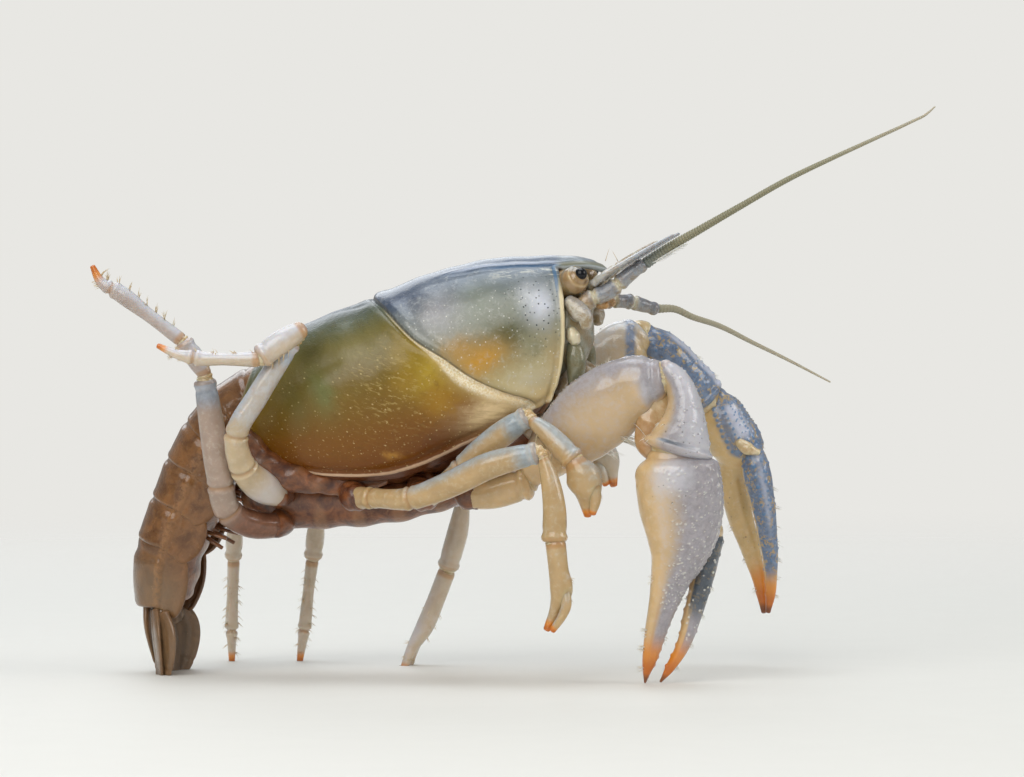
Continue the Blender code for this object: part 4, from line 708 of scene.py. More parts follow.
def shell_grid(rear_rows=84, front_rows=92, columns=171):
    """The shield as a grid whose rows lean along the neck groove, closer together near it."""
    turn = np.linspace(-1.0, 1.0, columns)
    side = np.abs(turn)
    rear = eased_line(ROUND_PLACE, REAR_EDGE, side)
    groove = eased_line(ROUND_PLACE, NECK_GROOVE, side)
    front = np.interp(side, FRONT_PLACE, FRONT_EDGE)
    back = 1.0 - (1.0 - np.linspace(0.0, 1.0, rear_rows)) ** 1.35
    fore = np.linspace(0.0, 1.0, front_rows)[1:] ** 1.35
    place = np.concatenate([rear + (groove - rear) * back[:, None],
                            groove + (front - groove) * fore[:, None]])
    turns = np.repeat(turn[None], len(place), axis=0)
    side = np.abs(turns)
    ahead, edge, tail = place - groove, front - place, place - rear
    grid = shell_point(place, turns)
    normal = grid_normals(grid)
    if normal[20, columns // 2, 2] < 0.0:
        normal = -normal
    low = (1.0 - side) * 15.0
    fade = step(side, 0.92, 0.8)
    relief = -0.24 * bell(ahead, -0.08, 0.2) * fade + 0.19 * bell(ahead, 0.55, 0.6) * fade
    relief += 0.05 * bell(ahead, -0.75, 0.4) * fade
    relief += 0.1 * bell(edge, 0.14, 0.15) - 0.07 * bell(edge, 0.5, 0.2)
    relief += 0.08 * bell(low, 0.2, 0.2) + 0.09 * bell(low, 1.75, 0.3) - 0.08 * bell(low, 2.4, 0.3)
    relief += 0.07 * bell(tail, 0.2, 0.16) - 0.07 * bell(tail, 0.6, 0.2)
    ridge = (side - 0.118 - 0.0045 * (place - 6.85)) * 15.0
    there = step(place, 4.6, 7.5) * step(edge, 0.1, 0.9)
    relief += there * (0.12 * bell(ridge, 0.0, 0.17) - 0.08 * bell(ridge, 0.5, 0.3))
    vein = 0.045 + 0.0022 * (place + 5.6) ** 2
    relief -= 0.09 * bell((side - vein) * 16.0, 0.0, 0.22) * step(ahead, -0.3, -1.2) * step(tail, 0.8, 2.0)
    relief += 0.12 * bell(place, 11.2, 1.6) * bell(side, 0.45, 0.12)
    relief -= 0.1 * bell(place, 9.4, 1.0) * bell(side, 0.6, 0.08)
    relief += 0.03 * np.sin(1.7 * place + 3.0 * turns) * np.sin(9.0 * turns + 0.9 * place)
    grid = grid + normal * relief[..., None]
    beak = step(place, 14.1, 14.7) * step(side, 0.24, 0.17)
    grid[..., 2] -= 0.34 * bell(edge, 0.0, 0.28) * beak
    values = {"beak": beak, "forward": place, "round": side, "ahead": ahead, "edge": edge, "low": low,
              "rear": tail, "ridge": ridge, "arc": turns * 15.0}
    return grid, values


def sizes():
    return bpy.context.scene.crayfish_sizes


def finishes():
    return bpy.context.scene.crayfish_finishes


def material_once(make, name=None):
    """The finish of the given name, or of its maker's, made on its first use."""
    name = name or make.__name__
    made = bpy.data.materials.get(name)
    return made if made is not None else make(name)


HEAD_BANDS = (
    (0.0, tone(76, 94, 116)), (0.1, tone(74, 90, 114)), (0.2, tone(92, 104, 116)),
    (0.34, tone(114, 120, 114)), (0.5, tone(122, 122, 98)), (0.65, tone(172, 158, 116)),
    (0.82, tone(206, 182, 132)), (1.0, tone(166, 134, 92)))
BACK_BANDS = (
    (0.0, tone(64, 78, 94)), (0.1, tone(66, 78, 82)), (0.19, tone(82, 88, 66)), (0.3, tone(98, 90, 38)),
    (0.5, tone(116, 90, 18)), (0.66, tone(118, 74, 3)), (0.8, tone(112, 62, 2)), (1.0, tone(96, 50, 12)))
# Soft patches of the shield: forward place, turn, their sizes, strength and colour. Some stand in for light:
# on the head a painted shade and a painted highlight, on the back a partly painted sheen.
HEAD_PATCHES_AND_PAINTED_LIGHT = (
    # The first patch, dark slate just ahead of the groove, is painted shade on the front lobe's rear slope.
    (2.6, 0.19, 1.9, 0.085, 0.9, tone(44, 60, 88)), (5.2, 0.32, 1.9, 0.1, 0.7, tone(150, 148, 154)),
    (8.4, 0.34, 1.4, 0.1, 0.5, tone(120, 128, 108)), (9.9, 0.49, 1.2, 0.07, 0.9, tone(72, 76, 40)),
    # The near-white patch at 12.5 is a painted highlight on the cheek.
    (10.9, 0.4, 0.9, 0.06, 0.6, tone(92, 100, 72)), (12.5, 0.4, 1.2, 0.1, 0.9, tone(206, 210, 222)),
    (7.4, 0.55, 2.0, 0.065, 1.0, tone(186, 138, 46)), (6.0, 0.49, 1.2, 0.04, 0.7, tone(182, 140, 66)),
    (10.3, 0.7, 1.6, 0.06, 0.8, tone(186, 176, 146)), (11.4, 0.57, 0.9, 0.05, 0.6, tone(126, 126, 98)),
    (12.6, 0.66, 0.7, 0.09, 0.5, tone(176, 150, 106)))
BACK_PATCHES_AND_PAINTED_SHEEN = (
    (3.4, 0.52, 1.7, 0.09, 0.8, tone(178, 150, 40)), (2.2, 0.41, 1.3, 0.07, 0.8, tone(138, 114, 10)),
    (3.7, 0.64, 1.2, 0.06, 0.8, tone(158, 116, 18)), (1.6, 0.52, 1.1, 0.05, 0.6, tone(150, 118, 30)),
    (-1.4, 0.34, 2.6, 0.08, 0.7, tone(126, 116, 70)), (-2.8, 0.44, 1.8, 0.06, 0.5, tone(120, 100, 50)),
    # The olive-green patch at -4.7 is partly the shell's colour and partly a painted teal sheen.
    (-4.7, 0.46, 0.9, 0.09, 0.85, tone(112, 118, 70)), (-4.9, 0.28, 1.2, 0.07, 0.8, tone(66, 60, 8)),
    (-3.2, 0.39, 0.9, 0.04, 0.5, tone(96, 90, 30)), (-6.8, 0.46, 1.2, 0.12, 0.75, tone(108, 98, 48)),
    (-5.6, 0.72, 2.4, 0.06, 0.4, tone(128, 82, 14)), (-1.1, 0.776, 0.5, 0.018, 0.85, tone(176, 126, 48)),
    (3.0, 0.8, 2.4, 0.06, 0.6, tone(88, 44, 6)))


def shell_glaze(name):
    """The shield: slate blue over the head, olive and amber behind the groove, pits, flecks, a wet coat, with
    a painted shadow line at the groove and painted highlights on the head.
    """
    paint = Paint(name)
    forward, around, ahead, edge = paint.numbers("forward", "round", "ahead", "edge")
    low, rear, ridge = paint.numbers("low", "rear", "ridge")
    flat = paint.pair(forward, paint.number("arc"))
    clouds = paint.noise(0.5, 4.0, 0.6, 0.4)
    mottle = paint.noise(1.8, 5.0, 0.7, 0.5)
    fine = paint.noise(7.0, 3.0, 0.6)
    drift = (clouds - 0.5) * 1.5 + (mottle - 0.5) * 0.5
    slip = (mottle - 0.5) * 0.06 + (clouds - 0.5) * 0.07

    def patch(f0, t0, f_size, t_size):
        """A soft oval of the shield: e to the minus squared distance from its forward place and its turn."""
        a = (forward - f0 + drift) / f_size
        b = (around - t0 + slip) / t_size
        return paint.add("ShaderNodeMath", {"operation": "EXPONENT"}, {0: (a * a + b * b) * -1.0})

    def region(bands, patches):
        """Colour bands from the back line down each side, with soft patches over them."""
        paint.base = paint.colours(around + slip, bands)
        for f0, t0, f_size, t_size, strength, colour in patches:
            paint.over(patch(f0, t0, f_size, t_size) * strength, colour)
        return paint.base

    head = region(HEAD_BANDS, HEAD_PATCHES_AND_PAINTED_LIGHT)
    region(BACK_BANDS, BACK_PATCHES_AND_PAINTED_SHEEN)
    paint.over(mottle.ramp(0.5, 0.75) * 0.25, tone(80, 62, 10))
    wavy = paint.pair(forward * 0.8 + around * 6.0, around * 40.0 - forward * 1.3)
    dashes = paint.noise(1.7, 2.0, 0.6, where=wavy).ramp(0.54, 0.66) * patch(0.4, 0.53, 3.0, 0.15)
    paint.over(dashes * 0.5, tone(184, 162, 98))
    behind = ahead.ramp(0.05, -0.05)
    paint.base = paint.mix(behind, head, paint.base)
    width = around.ramp(0.38, 0.66, 0.12, 1.0)
    inward = ahead * -1.0 / width + (mottle - 0.5) * 0.7
    milky = paint.mix(fine.ramp(0.35, 0.65), tone(222, 200, 154), tone(244, 236, 216))
    halo = inward.ramp(2.6, 0.4) * inward.ramp(-0.2, 0.2) * around.ramp(0.3, 0.5) * around.ramp(0.92, 0.84)
    paint.over(halo * mottle.ramp(0.3, 0.6, 0.35, 0.75), tone(196, 170, 104))
    core = inward.ramp(1.5, 0.7) * behind * around.ramp(0.16, 0.3) * around.ramp(0.92, 0.84)
    paint.over(core * around.ramp(0.3, 0.55, 0.5, 0.95), milky)
    streaks = paint.noise(1.2, 3.0, 0.6, 0.2, (0.5, 0.5, 3.0))
    milk = patch(7.0, 0.765, 2.3, 0.075) * streaks.ramp(0.3, 0.6, 0.65, 1.0) * behind
    paint.over(milk * 1.2, tone(222, 196, 150))
    # A painted shadow: a thin dark line just ahead of the neck groove, where the front lobe overhangs it.
    groove_shadow_line = ahead.square_from(0.09).ramp(0.012, 0.001) * around.ramp(0.88, 0.8)
    paint.over(groove_shadow_line * 0.55, tone(74, 70, 60))
    spread = paint.pair(forward * 0.8 + paint.number("arc") * 0.3, paint.number("arc"))
    some = paint.noise(0.9, 2.0, 0.5).ramp(0.35, 0.6)
    flecks = paint.cells(1.3, 0.8, spread).ramp(0.09, 0.03) * around.ramp(0.28, 0.42)
    flecks = flecks * behind * (some * 0.8 + 0.2)
    small = paint.cells(2.3, 1.0, flat).ramp(0.09, 0.04) * behind * some * around.ramp(0.4, 0.6) * 0.7
    flecks = flecks.highest(small)
    paint.over(flecks * 0.6, tone(210, 188, 130))
    dust = paint.cells(1.5, 0.95, flat).ramp(0.085, 0.03) * (1.0 - behind) * around.ramp(0.24, 0.34)
    dust = dust * (some * 0.7 + 0.3)
    paint.over(dust * 0.8, tone(226, 226, 218))
    dark = paint.cells(1.75, 0.95, flat).ramp(0.13, 0.06) * patch(12.4, 0.4, 2.2, 0.17) * (1.0 - behind)
    dark = dark * fine.ramp(0.35, 0.6, 0.4, 1.5)
    paint.over(dark, tone(34, 42, 46))
    freckle = paint.cells(2.6, 1.0, flat).ramp(0.16, 0.06) * around.ramp(0.3, 0.18) * some
    paint.over(freckle * 0.6, tone(44, 58, 76))
    uneven = paint.pair(forward + mottle * 0.6, paint.number("arc") + fine * 0.3)
    veins = paint.add("ShaderNodeTexVoronoi", {"voronoi_dimensions": "2D", "feature": "DISTANCE_TO_EDGE"},
                      {"Vector": uneven, "Scale": 1.9})
    net = veins.ramp(0.16, 0.0) * patch(4.9, 0.33, 3.0, 0.13) * (1.0 - behind) * fine.ramp(0.4, 0.6, 0.3, 1.0)
    paint.over(net * 0.16, tone(206, 208, 210))
    paint.over(mottle.ramp(0.5, 0.72) * 0.3 * (1.0 - behind), tone(192, 194, 192))
    # A painted highlight: a thin pale blue-white line along the crest of the side ridge on the head.
    ridge_highlight_span = forward.ramp(5.5, 8.0)
    paint.over(ridge.square_from().ramp(0.05, 0.005) * ridge_highlight_span * 0.6, tone(176, 186, 206))
    under = ridge.square_from(0.32).ramp(0.03, 0.004) * forward.ramp(8.0, 10.5)
    paint.over(under * 0.8, tone(36, 78, 116))
    lines = paint.noise(1.4, 3.0, 0.7, 0.6, (0.4, 0.4, 3.2))
    crease = ridge.square_from(1.15).ramp(0.35, 0.05) * forward.ramp(8.8, 11.0) * lines.ramp(0.5, 0.62)
    paint.over(crease * 0.75, tone(206, 204, 190))
    rim = edge.ramp(0.3, 0.12)
    paint.over(rim * around.ramp(0.26, 0.38) * 0.9, finishes().rim)
    blue_rim = edge.square_from(0.22).ramp(0.025, 0.005) * around.ramp(0.42, 0.3)
    paint.over(blue_rim * 0.8, tone(52, 98, 136))
    lip = low - 1.8 + (clouds - 0.5) * 0.3
    paint.over(low.ramp(1.9, 1.6) * 0.85, tone(110, 66, 40))
    paint.over(lip.square_from().ramp(0.07, 0.01) * forward.ramp(9.5, 7.5) * 0.85, tone(212, 180, 150))
    paint.over(rear.ramp(0.42, 0.18) * 0.7, tone(150, 130, 104))
    beak = paint.number("beak")
    paint.over(beak * 0.7, paint.mix(clouds.ramp(0.35, 0.65), tone(112, 120, 118), tone(150, 160, 170)))
    paint.over(beak * edge.ramp(0.9, 0.3) * 0.8, tone(120, 118, 92))
    # A painted highlight: light blue along the beak's side margin.
    paint.over(beak * edge.ramp(0.16, 0.04) * 0.7, tone(166, 176, 182))
    paint.over(paint.number("inside") * (1.0 - beak * 0.9), tone(84, 52, 26))
    rough = mottle.ramp(0.2, 0.8, 0.26, 0.42)
    paint.plug(paint.shader.inputs["Coat Weight"], around.ramp(0.35, 0.7, 0.75, 0.5) * (1.0 - behind * 0.5))
    grain = paint.cells(4.5, 1.0, flat).ramp(0.3, 0.0)
    dimples = paint.noise(1.1, 2.0, 0.5, 0.3)
    paint.emboss(clouds, 0.3, 0.5)
    paint.emboss(dimples * patch(10.5, 0.55, 2.6, 0.16), 0.3, 0.7)
    paint.emboss(mottle, 0.05, 0.5)
    marks = flecks * 0.7 + dust * 0.8 + crease * 0.7 + dashes * 0.6 + net * 0.3 - dark * 1.4 - freckle
    paint.emboss(grain * 0.25 + marks, 0.03, 0.6)
    paint.emboss(fine, 0.01, 0.6)
    return paint.finish(rough, glow=0.12, depth=0.6, wet=None, wet_rough=0.2, shine=0.25)


# Tones of each limb finish: warm flesh, cool shell, dark shell, a pale tone for pale shell and for painted
# highlights, beads. Then gold flakes and glow.
LIMB_TONES = {
    "claw_glaze_right": ((197, 168, 124), (146, 142, 147), (66, 74, 84), (200, 200, 208), (206, 204, 198),
                         0.2, 0.3),
    "claw_glaze_left": ((194, 166, 116), (158, 160, 158), (96, 112, 137), (206, 210, 226), (74, 120, 164),
                        0.7, 0.25),
    "leg_glaze_warm": ((178, 150, 106), (142, 152, 158), (128, 84, 52), (206, 202, 194), (214, 204, 186),
                       0.0, 0.35),
    "leg_glaze_pale": ((184, 164, 132), (150, 160, 172), (128, 88, 64), (208, 204, 206), (214, 204, 186),
                       0.0, 0.35),
    "leg_glaze_mauve": ((156, 136, 122), (138, 144, 154), (112, 74, 54), (200, 200, 206), (214, 204, 186),
                        0.0, 0.3),
}


def limb_glaze(name):
    """A limb: flesh showing through, cooler where the shell is thick, pale shell and painted highlights,
    beads, pits, amber joints and tips.
    """
    warm, cool, dark, light, bead = (tone(*colour) for colour in LIMB_TONES[name][:5])
    gold, glow = LIMB_TONES[name][5:]
    paint = Paint(name)
    blue, tip, joint = paint.numbers("cool", "tip", "joint")
    knob, pale, pit, slate = paint.numbers("knob", "pale", "pit", "slate")
    clouds = paint.noise(0.6, 3.0, 0.6, 0.3)
    mottle = paint.noise(2.4, 4.0, 0.65, 0.4)
    fine = paint.noise(9.0, 3.0, 0.6)
    uneven = (clouds - 0.5) * 0.3 + (mottle - 0.5) * 0.3
    flesh = paint.mix(clouds.ramp(0.3, 0.7), warm, tuple(min(1.0, c * 1.2) for c in warm))
    flesh = paint.mix(mottle.ramp(0.48, 0.75) * 0.3, flesh, tone(214, 204, 184))
    deep = paint.mix(mottle.ramp(0.3, 0.7), cool, tuple(min(1.0, c * 1.3) for c in cool))
    share = (blue + uneven).ramp(0.15, 0.85)
    paint.base = paint.mix(share, flesh, deep)
    darker = paint.mix(mottle.ramp(0.35, 0.7), dark, tuple(min(1.0, c * 1.5) for c in dark))
    dusky = (slate + uneven * 0.8).ramp(0.15, 0.8)
    paint.over(dusky, darker)
    flake = paint.noise(2.0, 4.0, 0.75, 0.5).ramp(0.52, 0.6) * slate.ramp(0.3, 0.6) * (1.0 - pale)
    paint.over(flake * gold, tone(190, 158, 88))
    # The pale mark: pale shell in places, and a painted highlight where the claws and legs face the lamps or
    # carry a highlight patch.
    paint.over((pale + uneven * 0.6).ramp(0.1, 0.9) * 0.8, light)
    dots = paint.cells(2.1, 0.9).ramp(0.2, 0.09) * pit
    paint.over(dots * 0.75, tone(84, 74, 70))
    paint.over(knob.ramp(0.35, 0.8) * 0.75, bead)
    paint.over(joint.ramp(0.2, 0.9) * 0.7, tone(176, 128, 70))
    paint.over(tip.ramp(0.0, 0.6) * 0.9, tone(212, 132, 30))
    paint.over(tip.ramp(0.55, 0.9) * 0.85, tone(184, 98, 8))
    paint.over(tip.ramp(0.93, 1.0) * 0.85, tone(96, 50, 12))
    rough = mottle.ramp(0.2, 0.8, 0.28, 0.45)
    grains = paint.cells(4.2).ramp(0.35, 0.0)
    paint.emboss(mottle, 0.06, 0.6)
    paint.emboss(grains * share * 0.5 - dots * 1.6 + knob * 0.2, 0.035, 0.8)
    paint.emboss(fine, 0.012, 0.6)
    return paint.finish(rough, glow=glow, depth=0.9, wet=0.9, wet_rough=0.1, shine=0.3)


def flesh_glaze(name):
    """Soft joint skin: amber to cream, finely wrinkled and wet."""
    paint = Paint(name)
    clouds = paint.noise(1.2, 4.0, 0.6, 0.4)
    fine = paint.noise(8.0, 3.0, 0.6)
    paint.base = paint.mix(clouds.ramp(0.3, 0.7), tone(182, 152, 104), tone(214, 198, 162))
    paint.over(fine.ramp(0.55, 0.8) * 0.4, tone(228, 218, 194))
    paint.over(paint.number("deep") * 0.8, tone(166, 112, 50))
    paint.emboss(clouds, 0.08, 0.6)
    paint.emboss(fine, 0.02, 0.6)
    return paint.finish(0.3, glow=0.4, depth=0.8, wet_rough=0.1)


def belly_glaze(name):
    """The underside between the legs: dark brown flesh with cream plates along the ridges."""
    paint = Paint(name)
    knob = paint.number("knob")
    clouds = paint.noise(0.9, 4.0, 0.65, 0.5)
    fine = paint.noise(6.0, 3.0, 0.6)
    paint.base = paint.mix(clouds.ramp(0.3, 0.7), tone(70, 30, 10), tone(138, 82, 42))
    paint.over(knob.ramp(0.2, 0.8) * 0.35, tone(170, 126, 86))
    paint.over(fine.ramp(0.6, 0.8) * 0.25, tone(186, 150, 110))
    paint.emboss(clouds, 0.15, 0.7)
    paint.emboss(fine, 0.03, 0.6)
    return paint.finish(0.38, glow=0.25, depth=0.8, wet=0.6, wet_rough=0.2)


def tail_glaze(name):
    """The tail: dark olive brown rings, an amber line along the side flaps that is partly a painted highlight
    on their ridge, and a greyer end.
    """
    paint = Paint(name)
    around, share, place = paint.numbers("round", "share", "along")
    clouds = paint.noise(0.8, 4.0, 0.65, 0.5)
    mottle = paint.noise(3.0, 4.0, 0.65, 0.4)
    fine = paint.noise(9.0, 3.0, 0.6)
    paint.base = paint.mix(clouds.ramp(0.3, 0.7), tone(88, 54, 22), tone(130, 88, 48))
    paint.over(place.ramp(5.8, 7.2) * 0.6, tone(124, 104, 80))
    paint.over(around.ramp(0.3, 0.0) * 0.35, tone(74, 62, 46))
    # The line along the flap ridge is partly the edge's amber colour and partly a painted highlight where the
    # ridge catches the light.
    line = around + (clouds - 0.5) * 0.14 - 0.72
    flap_amber_and_glint = line.square_from().ramp(0.004, 0.0003) * mottle.ramp(0.35, 0.6)
    paint.over(flap_amber_and_glint * 0.35, tone(168, 120, 70))
    paint.over(around.ramp(0.85, 1.0) * 0.35, tone(134, 92, 54))
    paint.over(share.ramp(0.92, 0.99) * 0.3, tone(132, 96, 58))
    paint.over(mottle.ramp(0.55, 0.75) * 0.25, tone(146, 112, 74))
    paint.over(paint.cells(2.4).ramp(0.12, 0.05) * 0.3, tone(176, 148, 112))
    paint.over(paint.number("inside") * 0.6, tone(80, 50, 28))
    rough = mottle.ramp(0.2, 0.8, 0.25, 0.42)
    paint.emboss(clouds, 0.15, 0.6)
    paint.emboss(mottle, 0.05, 0.6)
    paint.emboss(fine, 0.012, 0.6)
    return paint.finish(rough, glow=0.2, depth=0.7, wet=0.7, wet_rough=0.12, shine=0.25)


def feeler_glaze(name):
    """A ringed feeler: olive grey with paler rings, fading to straw at the thin end."""
    paint = Paint(name)
    along, ring = paint.numbers("share", "ring")
    clouds = paint.noise(1.5, 3.0, 0.6)
    paint.base = paint.colours(along + (clouds - 0.5) * 0.1, (
        (0.0, tone(116, 122, 116)), (0.1, tone(134, 130, 104)), (0.3, tone(132, 128, 102)),
        (0.6, tone(140, 136, 110)), (0.8, tone(158, 152, 130)), (1.0, tone(180, 172, 152))))
    paint.over(ring.ramp(0.35, 0.9) * 0.4, tone(70, 70, 56))
    paint.emboss(paint.noise(8.0, 3.0, 0.6), 0.015, 0.5)
    return paint.finish(0.45, glow=0.15, depth=0.4, wet=0.35, wet_rough=0.25, shine=0.3)


def head_glaze(name):
    """Small plates of the head: pale, bluish at the rims, translucent, with amber between and fine painted
    glints.
    """
    paint = Paint(name)
    blue, warm = paint.numbers("cool", "warm")
    clouds = paint.noise(1.4, 4.0, 0.65, 0.5)
    fine = paint.noise(8.0, 3.0, 0.6)
    paint.base = paint.mix(clouds.ramp(0.35, 0.65), tone(152, 132, 98), tone(202, 200, 190))
    spots = paint.noise(2.6, 4.0, 0.7, 0.6)
    blue = (blue + (clouds - 0.5) * 0.4 + (spots - 0.5) * 0.7).ramp(0.2, 0.8)
    paint.over(blue * 0.85, paint.mix(spots.ramp(0.35, 0.65), tone(94, 96, 112), tone(126, 134, 146)))
    paint.over((warm + (clouds - 0.5) * 0.5).ramp(0.2, 0.8) * 0.85, tone(172, 128, 72))
    paint.over((paint.number("moss") + (clouds - 0.5) * 0.5).ramp(0.2, 0.9) * 0.9, tone(104, 106, 76))
    paint.over(paint.number("pale") * 0.85, tone(182, 190, 198))
    paint.over(paint.number("pearl") * 0.85, tone(222, 212, 178))
    # Fine pale painted glints over the plates.
    paint.over(fine.ramp(0.6, 0.8) * 0.4, tone(220, 218, 208))
    paint.emboss(clouds, 0.2, 0.8)
    paint.emboss(spots, 0.08, 0.7)
    paint.emboss(fine, 0.02, 0.6)
    return paint.finish(0.3, glow=0.3, depth=0.6, wet=0.9, wet_rough=0.1, shine=0.3)


def eye_glaze(name):
    """The eye's stalk: honey brown and translucent, with a paler ring round it."""
    paint = Paint(name)
    ring = paint.number("ring")
    clouds = paint.noise(1.6, 3.0, 0.6, 0.3)
    paint.base = paint.mix(clouds.ramp(0.3, 0.7), tone(138, 108, 68), tone(160, 132, 92))
    paint.over(ring * 0.5, tone(196, 174, 130))
    paint.over(paint.number("cool") * 0.7, tone(110, 118, 116))
    paint.emboss(clouds, 0.04, 0.5)
    return paint.finish(0.2, glow=0.5, depth=0.8, wet_rough=0.04)


def cornea_glaze(name):
    """The cornea: nearly black and glassy, with the fine mesh of its facets."""
    paint = Paint(name)
    cells = paint.cells(16.0, 0.2)
    paint.base = paint.mix(cells.ramp(0.2, 0.6), tone(16, 20, 30), tone(6, 7, 10))
    paint.emboss(cells, 0.004, 0.3)
    return paint.finish(0.14, wet=0.25, wet_rough=0.02, shine=0.2)


def bristle_glaze(name):
    """Bristles: straw gold on the legs and paler on the claws and the scale."""
    paint = Paint(name)
    paint.base = paint.mix(paint.noise(1.2, 2.0, 0.5).ramp(0.3, 0.7), tone(180, 148, 98), tone(212, 190, 146))
    paint.over(paint.number("pale"), tone(230, 228, 220))
    return paint.finish(0.4, glow=0.2, depth=0.1, wet=0.3, wet_rough=0.2)


def floor_paint(name):
    """The pale floor, which fades out into the equally pale surroundings."""
    paint = Paint(name)
    spot = paint.place()
    across = paint.add("ShaderNodeVectorMath", {"operation": "MULTIPLY"}, {0: spot, 1: (1.0, 1.0, 0.0)})
    far = paint.add("ShaderNodeVectorMath", {"operation": "LENGTH"}, {0: across}, 1)
    grain = paint.noise(0.25, 3.0, 0.5)
    floor = finishes().floor
    paint.base = paint.mix(grain, floor, tuple(c * 0.97 for c in floor))
    paint.over(far.ramp(60.0, 260.0), finishes().far_floor)
    paint.plug(paint.shader.inputs["Alpha"], far.ramp(60.0, 320.0, 1.0, 0.0))
    return paint.finish(0.6, wet=0.0, shine=0.2)


class CrayfishSizes(bpy.types.PropertyGroup):
    knob_height: bpy.props.FloatProperty(
        name="Knob height", description="How far the claw knobs stand up", default=0.00009, unit="LENGTH")
    hair_width: bpy.props.FloatProperty(
        name="Bristle width", description="Half the thickness of a bristle at its root", default=0.000032,
        unit="LENGTH")
    shell_thick: bpy.props.FloatProperty(
        name="Shell thickness", description="Thickness of the shield's free edge", default=0.00042,
        unit="LENGTH")
    floor_radius: bpy.props.FloatProperty(
        name="Floor radius", description="Radius of the pale floor", default=0.45, unit="LENGTH")


class CrayfishFinishes(bpy.types.PropertyGroup):
    rim: bpy.props.FloatVectorProperty(
        name="Shell rim", description="Colour of the shield's front margin", default=tone(226, 210, 170),
        subtype="COLOR")
    floor: bpy.props.FloatVectorProperty(
        name="Floor", description="Colour of the pale floor", default=tone(227, 226, 221), subtype="COLOR")
    far_floor: bpy.props.FloatVectorProperty(
        name="Far floor", description="Colour of the floor where it fades out", default=tone(240, 239, 235),
        subtype="COLOR")
    air: bpy.props.FloatVectorProperty(
        name="Surroundings", description="Colour of the soft light all round", default=tone(232, 231, 227),
        subtype="COLOR")


class CRAYFISH_OT_shield(bpy.types.Operator):
    """Lays the one-piece shield with its neck groove, rims and beak over the carapace."""

    bl_idname = "crayfish.shield"
    bl_label = "Shield"

    def execute(self, context):
        grid, values = shell_grid()
        points, faces, spread = plate_mesh(grid, sizes().shell_thick / MM, values)
        add_piece("shield", (in_body(points), faces, spread), material_once(shell_glaze), ("carapace",))
        return {"FINISHED"}


def flesh_core():
    """The body that fills the shield: the shield's own sections drawn in a little, closed at both ends."""
    rows, columns, gap, front_most = 60, 61, 0.5, 13.9
    turn = np.linspace(-1.0, 1.0, columns)
    side = np.abs(turn)
    share = np.linspace(0.0, 1.0, rows)
    rear = eased_line(ROUND_PLACE, REAR_EDGE, side) + gap
    front = np.minimum(np.interp(side, FRONT_PLACE, FRONT_EDGE), front_most) - 0.7
    place = rear + (front - rear) * share[:, None]
    sheet = shell_point(place, np.repeat(turn[None], rows, axis=0), -gap)
    under = np.linspace(0.0, 1.0, 16)[1:-1]
    floor = sheet[:, -1:, :] + (sheet[:, :1, :] - sheet[:, -1:, :]) * under[None, :, None]
    floor[..., 2] -= 1.5 * np.sin(under * pi)
    grid = np.concatenate([sheet, floor], axis=1)
    middle_rear = grid[:1].mean(axis=1, keepdims=True) * np.ones_like(grid[:1])
    middle_front = grid[-1:].mean(axis=1, keepdims=True) * np.ones_like(grid[:1])
    ends = [middle_rear + (grid[:1] - middle_rear) * s for s in (0.0, 0.5, 0.85)]
    fronts = [middle_front + (grid[-1:] - middle_front) * s for s in (0.85, 0.5, 0.0)]
    grid = np.concatenate(ends + [grid] + fronts)
    share = np.repeat(np.linspace(0.0, 1.0, len(grid))[:, None], grid.shape[1], axis=1)
    return Skin(in_body(grid), grid, share, share, 26.0)


